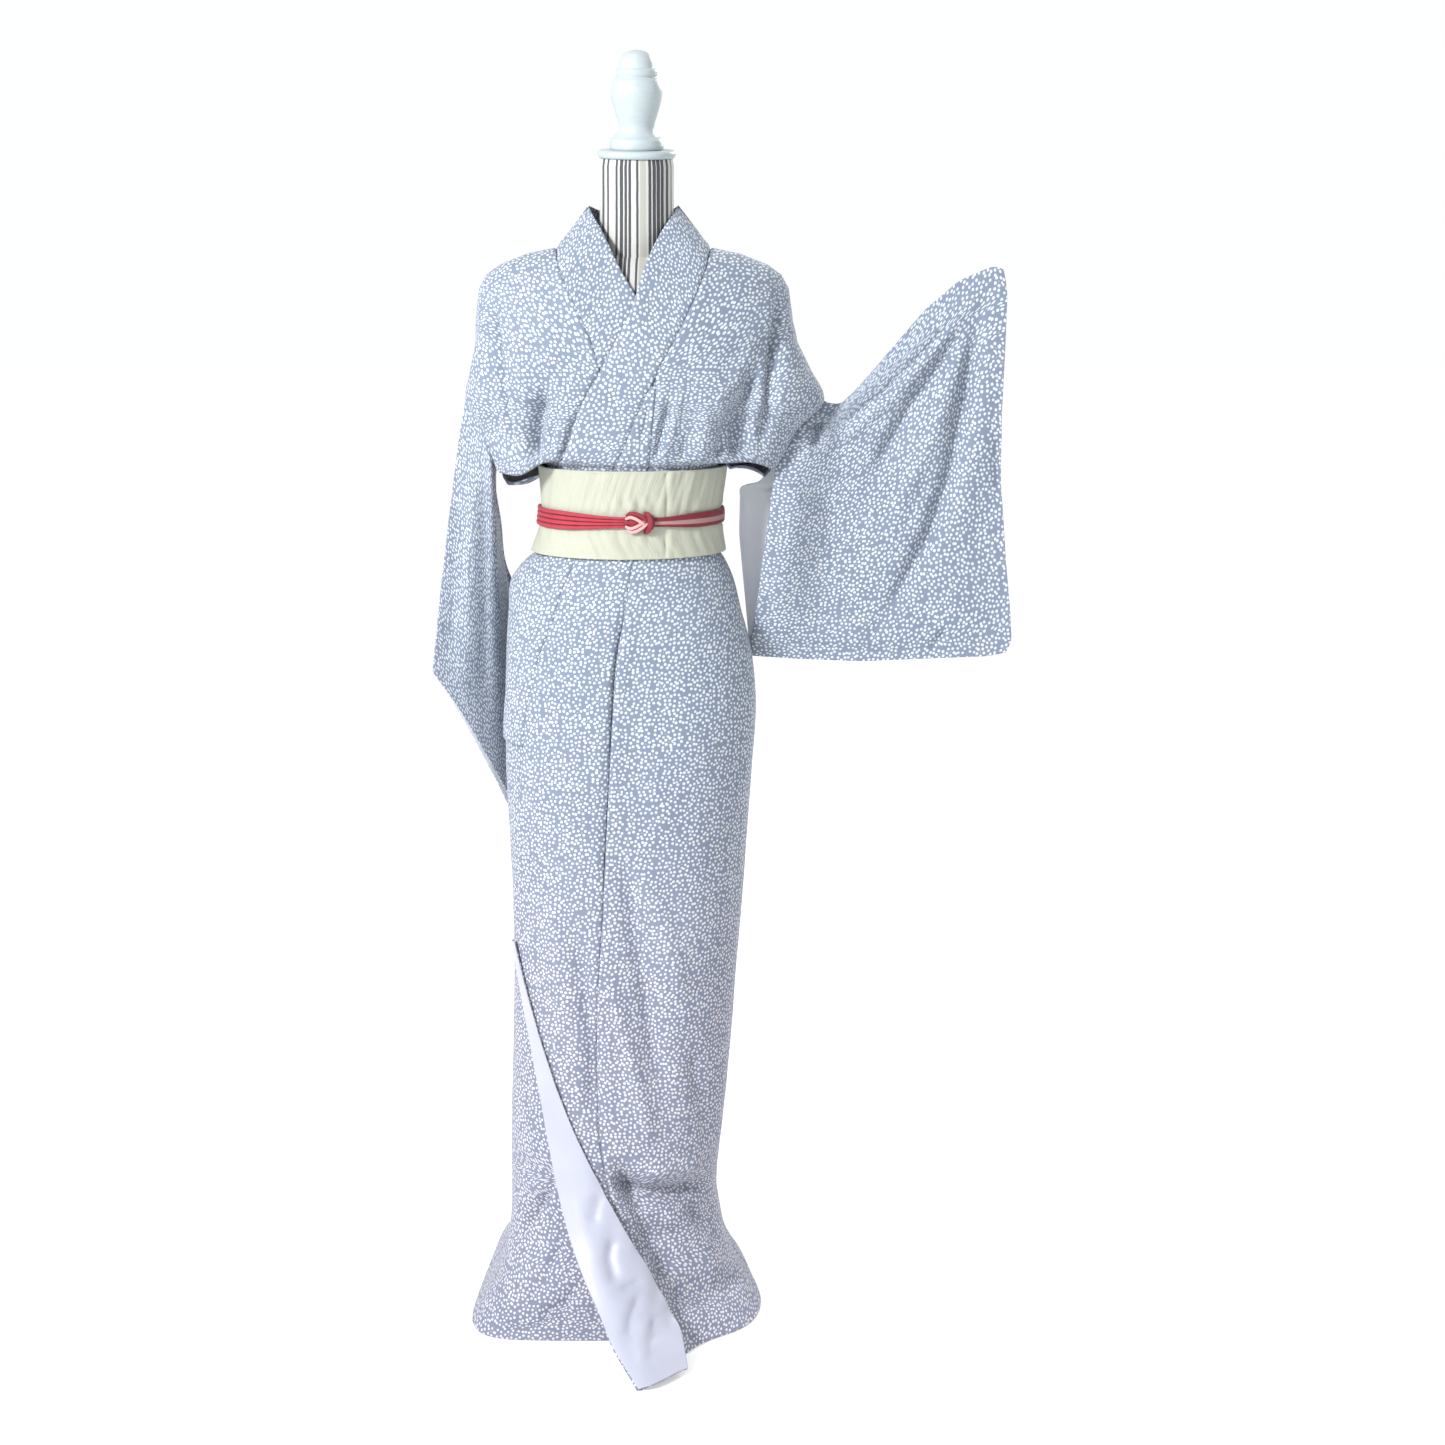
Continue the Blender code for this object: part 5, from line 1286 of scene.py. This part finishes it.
def revolved(name, profile, finish, slot, node, origin=(0, 0, 0), leaning=False, spacing=0.0016):
    """A turned piece from the profile of its outer side, rounded between the profile's points."""
    profile = np.array([[(r, 0.0, z)] for r, z in profile])
    line = along_axis(profile, spacing)[:, 0] if spacing else profile[:, 0]
    line[:, 0] = np.maximum(line[:, 0], 0.00002)
    angle = np.linspace(0, TAU, TURNED_COLUMNS)
    radius, height = line[:, None, 0], np.repeat(line[:, 2:3], TURNED_COLUMNS, axis=1)
    grid = np.stack([radius * np.sin(angle), -radius * np.cos(angle), height], axis=2)
    points = grid.reshape(-1, 3)
    if leaning:
        turn = np.array(lean_of_neck().to_matrix())
        points = points @ turn.T
    points = points + np.array(origin)
    uv = np.stack(np.broadcast_arrays(angle * 0.03, run_along(line)[:, None]), axis=2).reshape(-1, 2)
    faces = grid_faces(len(line), TURNED_COLUMNS)
    return mesh_piece(name, points, faces, uv, finish, slot, [node])


def form_cover(finish):
    """The ticking over torso and neck, smooth where the frame's is in flats."""
    around = COVER_COLUMNS
    rows = []
    for height, half, depth in TORSO:
        ring = Ring(height, height, 0.0, half, depth, depth, 2.1, 0)
        rows.append([tuple(ring_point(ring, 360 * i / around)) for i in range(around)])
    for rise in RISES[:-1]:
        depth = TORSO_DEPTH * math.sqrt(1 - rise * rise)
        ring = Ring(DOME_BASE, DOME_BASE, 0.0, TORSO_HALF - 0.008 * rise, depth, depth, 2.0, 0)
        row = []
        for i in range(around):
            point = ring_point(ring, 360 * i / around)
            top = table_at(TORSO_RIDGE, abs(point.x)) - SEAT - DOME_BASE
            row.append((point.x, point.y, DOME_BASE + rise * top))
        rows.append(row)
    grid = along_axis(np.array(rows), 0.012)
    grid[:, :, 1] -= 0.0006 * np.sign(grid[:, :, 1])
    count = len(grid) * around
    faces = grid_faces(len(grid), around, closed=True)
    top = np.arange(around) + count - around
    ridge = []
    for i in range(-around // 4, around // 4):
        across = (i, i + 1, around // 2 - 1 - i, around // 2 - i)
        ridge.append([top[j % around] for j in across])
    base = []
    for j in range(1, around // 2):
        base.append([j, j + 1, around - j - 1, around - j])
    lean = (NECK_TOP.x - NECK_FOOT.x) / (NECK_TOP.z - NECK_FOOT.z)
    u = grid[:, :, 0] - NECK_FOOT.x - lean * (grid[:, :, 2] - NECK_FOOT.z)
    uv = [np.stack([u, grid[:, :, 2]], axis=2).reshape(-1, 2)]
    points = [grid.reshape(-1, 3)]
    turn = np.array(lean_of_neck().to_matrix())
    shares = np.linspace(0, 1, NECK_ROWS)
    wrap = np.linspace(0, TAU, TURNED_COLUMNS)
    centre = mix(np.array(NECK_FOOT)[None], np.array(NECK_TOP)[None], shares[:, None])
    radius = NECK_RADIUS + 0.010 * (1 - shares) ** 3
    radius = radius - 0.0016 * smooth(shares, 0.975, 1.0)
    local = np.stack([np.sin(wrap), -np.cos(wrap), np.zeros_like(wrap)], axis=1) @ turn.T
    pucker = 0.0003 * np.sin(wrap * 31) * smooth(shares, 0.6, 1.0)[:, None]
    neck = centre[:, None] + local[None] * (radius[:, None] - 0.0004 + pucker)[:, :, None]
    points.append(neck.reshape(-1, 3))
    neck_u = np.broadcast_to(wrap * 2 * TICKING_REPEAT / TAU + TICKING_SHIFT, neck.shape[:2])
    neck_v = np.broadcast_to(shares[:, None] * 0.238, neck.shape[:2])
    uv.append(np.stack([neck_u, neck_v], axis=2).reshape(-1, 2))
    neck_faces = grid_faces(NECK_ROWS, TURNED_COLUMNS) + count
    every = np.concatenate([faces, np.array(ridge + base), neck_faces])
    points, uv = np.concatenate(points), np.concatenate(uv)
    return mesh_piece("form_torso_cover", points, every, uv, finish, "striped_ticking", ["form_torso"])


# Turns of the flat knot, in mm as seen from the front, from its middle: each line's points (aside,
# up, out), its half width, and whether the pink run of the cord shows on it
KNOT_TURNS = [
    (((-18, 9.0, 1.8), (-13, 12.6, 4.6), (-6, 12.6, 7.0), (1, 10.2, 8.6), (7, 5.8, 9.4),
      (11, 0.5, 8.4)), 2.9, False),
    (((-19, 5.2, 3.0), (-13, 8.2, 6.6), (-6, 6.4, 9.0), (0, 2.8, 10.2), (5, -0.6, 10.0),
      (8, -3.6, 7.6)), 2.6, True),
    (((-19, -4.6, 3.0), (-13, -7.4, 6.4), (-6, -5.4, 8.6), (0, -2.0, 9.4), (5, 1.6, 9.0),
      (8, 4.6, 7.4)), 2.5, True),
    (((-16, -9.4, 1.8), (-12, -12.4, 4.6), (-6, -11.6, 7.0), (1, -8.0, 8.6), (7, -3.6, 9.2),
      (11, 0.5, 8.0)), 2.5, True),
    (((-21, 0.6, 3.4), (-16, 0.6, 6.0), (-11, 0.5, 7.4), (-4, 0.4, 8.2)), 2.6, False),
    (((7.5, 13.0, 2.2), (11.5, 11.6, 6.6), (14.2, 6.0, 9.8), (14.8, 0, 10.8), (14.0, -6.4, 9.6),
      (11.0, -12.0, 6.0), (7.5, -13.4, 2.0)), 3.5, False),
    (((13.5, 10.0, 1.8), (17.2, 6.4, 5.2), (18.6, 0, 6.6), (17.2, -6.4, 5.0), (13.5, -10.2, 1.6)),
     2.8, False),
]
KNOT_SCALE = 0.93  # of its turns as seen from the front
KNOT_ASIDE = 0.0025  # of its turns from the middle of its root
KNOT_WIDE = 0.0017  # half thickness of its bands
# Its core: from and to aside, how far out, half its thickness and half its height
CORE_FROM, CORE_TO, CORE_OUT, CORE_THICK, CORE_HIGH = -0.0175, 0.0145, 0.0042, 0.0044, 0.0098


def knot(finish_red, finish_pink):
    """The flat knot: bands that cross towards the wearer's left, and the turns that hold them."""
    base = np.array(round_obi(CORD_HEIGHT, KNOT_AT, 0.0))
    lean = math.radians(KNOT_AT)

    def at(x, z, out):
        return base + np.array((x * math.cos(lean) + out * math.sin(lean), x * math.sin(lean) - out, z))

    bands = {False: [], True: []}
    for points, half, pink in KNOT_TURNS:
        line = []
        for x, z, out in points:
            line.append([at(KNOT_SCALE * x / 1000 - KNOT_ASIDE, KNOT_SCALE * z / 1000, out / 1000)])
        line = along_axis(np.array(line), 0.0008)[:, 0]
        share = np.linspace(-1, 1, len(line))
        ends = 1 - 0.35 * share**6
        flat = tube_points(line, half / 1000 * ends, 16, KNOT_WIDE, (0, -1, 0.01), lying=True)
        bands[pink].append(flat)
    core = np.array([at(x, 0.0, CORE_OUT) for x in np.linspace(CORE_FROM, CORE_TO, 15)])
    round_off = np.sqrt(np.maximum(0.004, 1 - np.linspace(-1, 1, 15) ** 4))
    bands[False].append(tube_points(core, CORE_THICK * round_off, 20, CORE_HIGH * round_off))
    tubes("cord_knot_turns", bands[False], finish_red, "red_cord", ["cord_knot"])
    tubes("cord_knot_bands", bands[True], finish_pink, "red_cord", ["cord_knot"])


# Lamps: name, place, size, power, aim
LAMPS = (
    ("key", (-2.6, -3.0, 3.0), 1.0, 285, (0, 0, 0.95)),
    ("fill", (2.5, -2.8, 1.5), 2.4, 5, (0, 0, 0.9)),
    ("rim", (1.9, 2.9, 2.8), 1.4, 70, (0, 0, 1.0)),
    ("low", (-0.6, -3.4, 0.5), 1.8, 6, (0, 0, 0.5)),
)
FLOOR_HALF = 30.0
CAMERA_AT, CAMERA_DOWN, SENSOR, LENS = (0.117, -2.832, 1.416), 12, 36.0, 52.27


def camera_and_light():
    """The photo's camera, soft studio light, and a plain pale floor."""
    scene = bpy.context.scene
    data = bpy.data.cameras.new("camera")
    data.sensor_width, data.lens = SENSOR, LENS
    camera = bpy.data.objects.new("camera", data)
    camera.location = CAMERA_AT
    camera.rotation_euler = (math.radians(90 - CAMERA_DOWN), 0, 0)
    scene.collection.objects.link(camera)
    scene.camera = camera
    for name, place, size, power, aim in LAMPS:
        light = bpy.data.lights.new(name, "AREA")
        light.shape, light.size, light.energy = "DISK", size, power
        lamp = bpy.data.objects.new(name, light)
        lamp.location = place
        lamp.rotation_euler = (Vector(aim) - Vector(place)).to_track_quat("-Z", "Y").to_euler()
        scene.collection.objects.link(lamp)
    world = bpy.data.worlds.new("studio")
    world.use_nodes = True
    background = world.node_tree.nodes["Background"].inputs
    background["Color"].default_value = (0.993, 0.997, 1.0, 1)
    background["Strength"].default_value = 1.0
    scene.world = world
    scene.view_settings.view_transform = "Standard"
    tree = Tree("studio_floor", 0.9, specular=0.1)
    place = tree.place()
    tree.finish(tree.mix(tree.noise(place, 3.0, 2.0), (0.66, 0.66, 0.66), (0.69, 0.69, 0.69)))
    tree.shader.inputs["Emission Color"].default_value = (0.985, 0.993, 1.0, 1)
    tree.shader.inputs["Emission Strength"].default_value = 0.34
    corners = [(x * FLOOR_HALF, y * FLOOR_HALF, 0) for x, y in ((-1, -1), (1, -1), (1, 1), (-1, 1))]
    mesh = bpy.data.meshes.new("studio_floor")
    mesh.from_pydata(corners, [], [(0, 1, 2, 3)])
    mesh.materials.append(tree.material)
    floor = bpy.data.objects.new("studio_floor", mesh)
    scene.collection.objects.link(floor)


OBI_FINE = 340  # columns of the obi
# Columns of the panels before they are made finer
COLUMNS = {"back": 44, "upper": 46, "under": 36, "okumi": 30}
# The part of the spread sleeve's back wall that its lining covers, by share of its width and height
LINING_WIDE, LINING_HIGH = 0.256, (0.214, 0.93)


def build_kimono():
    """The kimono's cloths. Their shifts keep the print from lining up across a seam."""
    crepe = blossom_crepe()
    lavender = silk("hakkake_lining", (0.38, 0.395, 0.475), (0.29, 0.30, 0.375))
    pale = silk("sleeve_lining", (0.72, 0.75, 0.80), (0.62, 0.65, 0.71))
    inside = silk("body_lining", (0.60, 0.60, 0.60), (0.50, 0.50, 0.52))

    def sewn(nodes, grid, held, rests, *wall, **more):
        sheet_piece(nodes, grid, crepe, "blossom_crepe", held, [rests], *wall, **more)

    for side, hand in ((1, "left"), (-1, "right")):
        upper = side > 0
        under = () if upper else UNDER_CREASES
        body = f"{hand}_body_front_cloth"
        back = pouch(fine(back_panel(side, COLUMNS["back"]), STEP, STEP), True)
        back = dipped(with_edges(back_folds(back)))
        nodes = [f"{hand}_body_back", f"{hand}_skirt_back"]
        sewn(nodes, back, "draped", "form_torso_cover", shift=(0.9 + side, 0.3), inner=inside)
        front = front_panel(side, upper, COLUMNS["upper" if upper else "under"])
        front = dipped(with_edges(front_folds(pouch(fine(front, CLOSE, FINE)), under)))
        nodes = [f"{hand}_body_front", f"{hand}_skirt_front"]
        sewn(nodes, front, "draped", "form_torso_cover", shift=(0.2 + side, 0.1), inner=inside)
        strip = fine(okumi(side, upper, COLUMNS["okumi"]), CLOSE, FINE)
        strip = dipped(with_edges(front_folds(strip, under)))
        sewn(f"{hand}_okumi", strip, "draped", body, shift=(3.2 + side, 0.7), inner=lavender)
        band = with_edges(front_folds(fine(collar_side(side, upper), CLOSE, FINE), under))
        band = dipped(dipped(band, last=False), 0.0016, 0.0028, first=False)
        sewn(f"{hand}_collar", band, "draped", body, COLLAR_WALL, shift=(5.1 + side, 0.4))
    neck = dipped(with_edges(fine(collar_back(), CLOSE, FINE)), last=False)
    sewn("back_collar", neck, "draped", "left_body_back_cloth", COLLAR_WALL, shift=(7.3, 0.2))
    corner = front_folds(fine(turned_corner(), FINE, 0.0035), FLAP_CREASES)
    sewn("left_okumi_turned", with_edges(corner), "folded", "left_okumi_cloth", shift=(8.2, 0.1))
    lining = with_edges(corner + facing(corner) * (CLOTH / 2 + REST + LINING_WALL / 2))
    rests = ["left_okumi_turned_cloth"]
    sheet_piece("hakkake_lining", lining, lavender, "hakkake_lining", "folded", rests, LINING_WALL)
    for face, part, edge in ((-1, "front", SPREAD_FRONT_EDGE), (1, "back", SPREAD_BACK_EDGE)):
        toward = (0, face, 0)
        coarse = [
            [spread_point(mix(-SPREAD_START, 1, j / 24), i / 28, face, edge) for j in range(25)]
            for i in range(29)
        ]
        wall = spread_folds(fine(coarse, 0.0042, 0.0042))
        wall = dipped(wall, 0.0020, 0.0080, last=False, toward=toward)
        look = {"inner": pale, "toward": toward}
        body = "left_body_front_cloth"
        sewn(f"left_sleeve_{part}", with_edges(wall), "hung", body, shift=(9.4 + face, 0.5), **look)
        if face > 0:
            down = np.linspace(0, 1, len(wall))
            wide = np.linspace(-SPREAD_START, 1, wall.shape[1]) <= LINING_WIDE
            strip = wall[(down >= LINING_HIGH[0]) & (down <= LINING_HIGH[1])][:, wide]
            strip[:, :, 1] -= CLOTH / 2 + REST + LINING_WALL / 2
            sheet_piece("left_sleeve_lining", with_edges(strip), pale, "sleeve_lining", "hung",
                        ["left_sleeve_back_cloth"], LINING_WALL, toward=(0, -1, 0))
        hang = with_edges(hang_folds(fine(hanging_wall(face), 0.0045, 0.0045)))
        body = "right_body_front_cloth"
        sewn(f"right_sleeve_{part}", hang, "hung", body, shift=(12.4 + face, 0.5), **look)


STRAND_STEPS = 60
STRAND_OUT = 0.0024  # half thickness of a strand, so its middle lies this far off the obi


def build_belt():
    """The obi, the cord's four strands, its doubled band and its knot."""
    obi = with_edges(obi_wrinkles(fine(obi_grid(), 0.0035)), steps=(0.0008, 0.0020))
    rests = ["left_body_front_cloth", "right_body_front_cloth"]
    sheet_piece("obi", obi, obi_crepe(), "obi_crepe", "stretched", rests, OBI_WALL)
    # One cord in lit and shaded copies, as painted light and shade: the strands are painted lighter, and
    # the knot's turns, its pink bands and the band round the side are painted darker
    red, knot_painted_shade = braid("red_cord", light=1.15), braid("red_cord_knot_painted_shade", light=0.66)
    striped_painted_shade = braid("red_cord_striped_painted_shade", stripe=(-0.0046, 0.0016), light=0.52)
    pink = braid("red_cord_pink_painted_shade", stripe=(-0.0018, 0.0021), light=0.85)
    for index in range(4):
        spread = (index - 1.5) * 2 * (CORD_STRAND + REST / 2)
        line, tall = [], []
        for i in range(STRAND_STEPS + 1):
            share = i / STRAND_STEPS
            away = step(share, 0.0, 0.55)
            height = CORD_HEIGHT - spread * mix(0.62, 1.10, away)
            line.append(tuple(round_obi(height, mix(KNOT_AT - 7.0, -94, share), STRAND_OUT + REST)))
            tall.append(mix(0.0016, 0.0028, away))
        grid = tube_points(line, STRAND_OUT, 16, tall)
        tubes(f"cord_strand_{index + 1}_braid", [grid], red, "red_cord", [f"cord_strand_{index + 1}"])
    for node, start, end, count in (("cord_right", KNOT_AT + 7.5, 94, 60), ("cord_back", 95, 265, 110)):
        start_half = 0.0060 if node == "cord_right" else CORD_HALF
        line, tall = [], []
        for i in range(count + 1):
            degrees = mix(start, end, i / count)
            lap = OBI_LAP * step(degrees, 140, 160) * (1 - step(degrees, 206, 226))
            line.append(tuple(round_obi(CORD_HEIGHT, degrees, REST + CORD_THICK / 2 + lap)))
            tall.append(mix(start_half, CORD_HALF, step(i / count, 0.0, 0.45)))
        grid = tube_points(line, CORD_THICK / 2, 28, tall)
        tubes(f"{node}_braid", [grid], striped_painted_shade, "red_cord", [node])
    knot(knot_painted_shade, pink)


def build_form():
    """The turned finial, neck disc and foot, the pole, and the cover of torso and neck."""
    wood = painted("painted_wood", (0.375, 0.43, 0.45), (0.305, 0.355, 0.376), 0.42)
    steel = painted("painted_steel", (0.72, 0.72, 0.72), (0.62, 0.62, 0.62), 0.34, 0.6)
    top = tuple(NECK_TOP + lean_of_neck() @ Vector((0, 0, FINIAL_OVER)))
    revolved("form_finial_turned", FINIAL, wood, "painted_wood", "form_finial", top, True)
    top = tuple(NECK_TOP)
    revolved("form_neck_disc_turned", NECK_DISC, wood, "painted_wood", "form_neck_disc", top, True, 0)
    revolved("form_pole_tube", POLE, steel, "painted_steel", "form_pole", spacing=0)
    revolved("form_foot_turned", FOOT, wood, "painted_wood", "form_foot", spacing=0)
    form_cover(ticking())


camera_and_light()
build_form()
build_kimono()
build_belt()
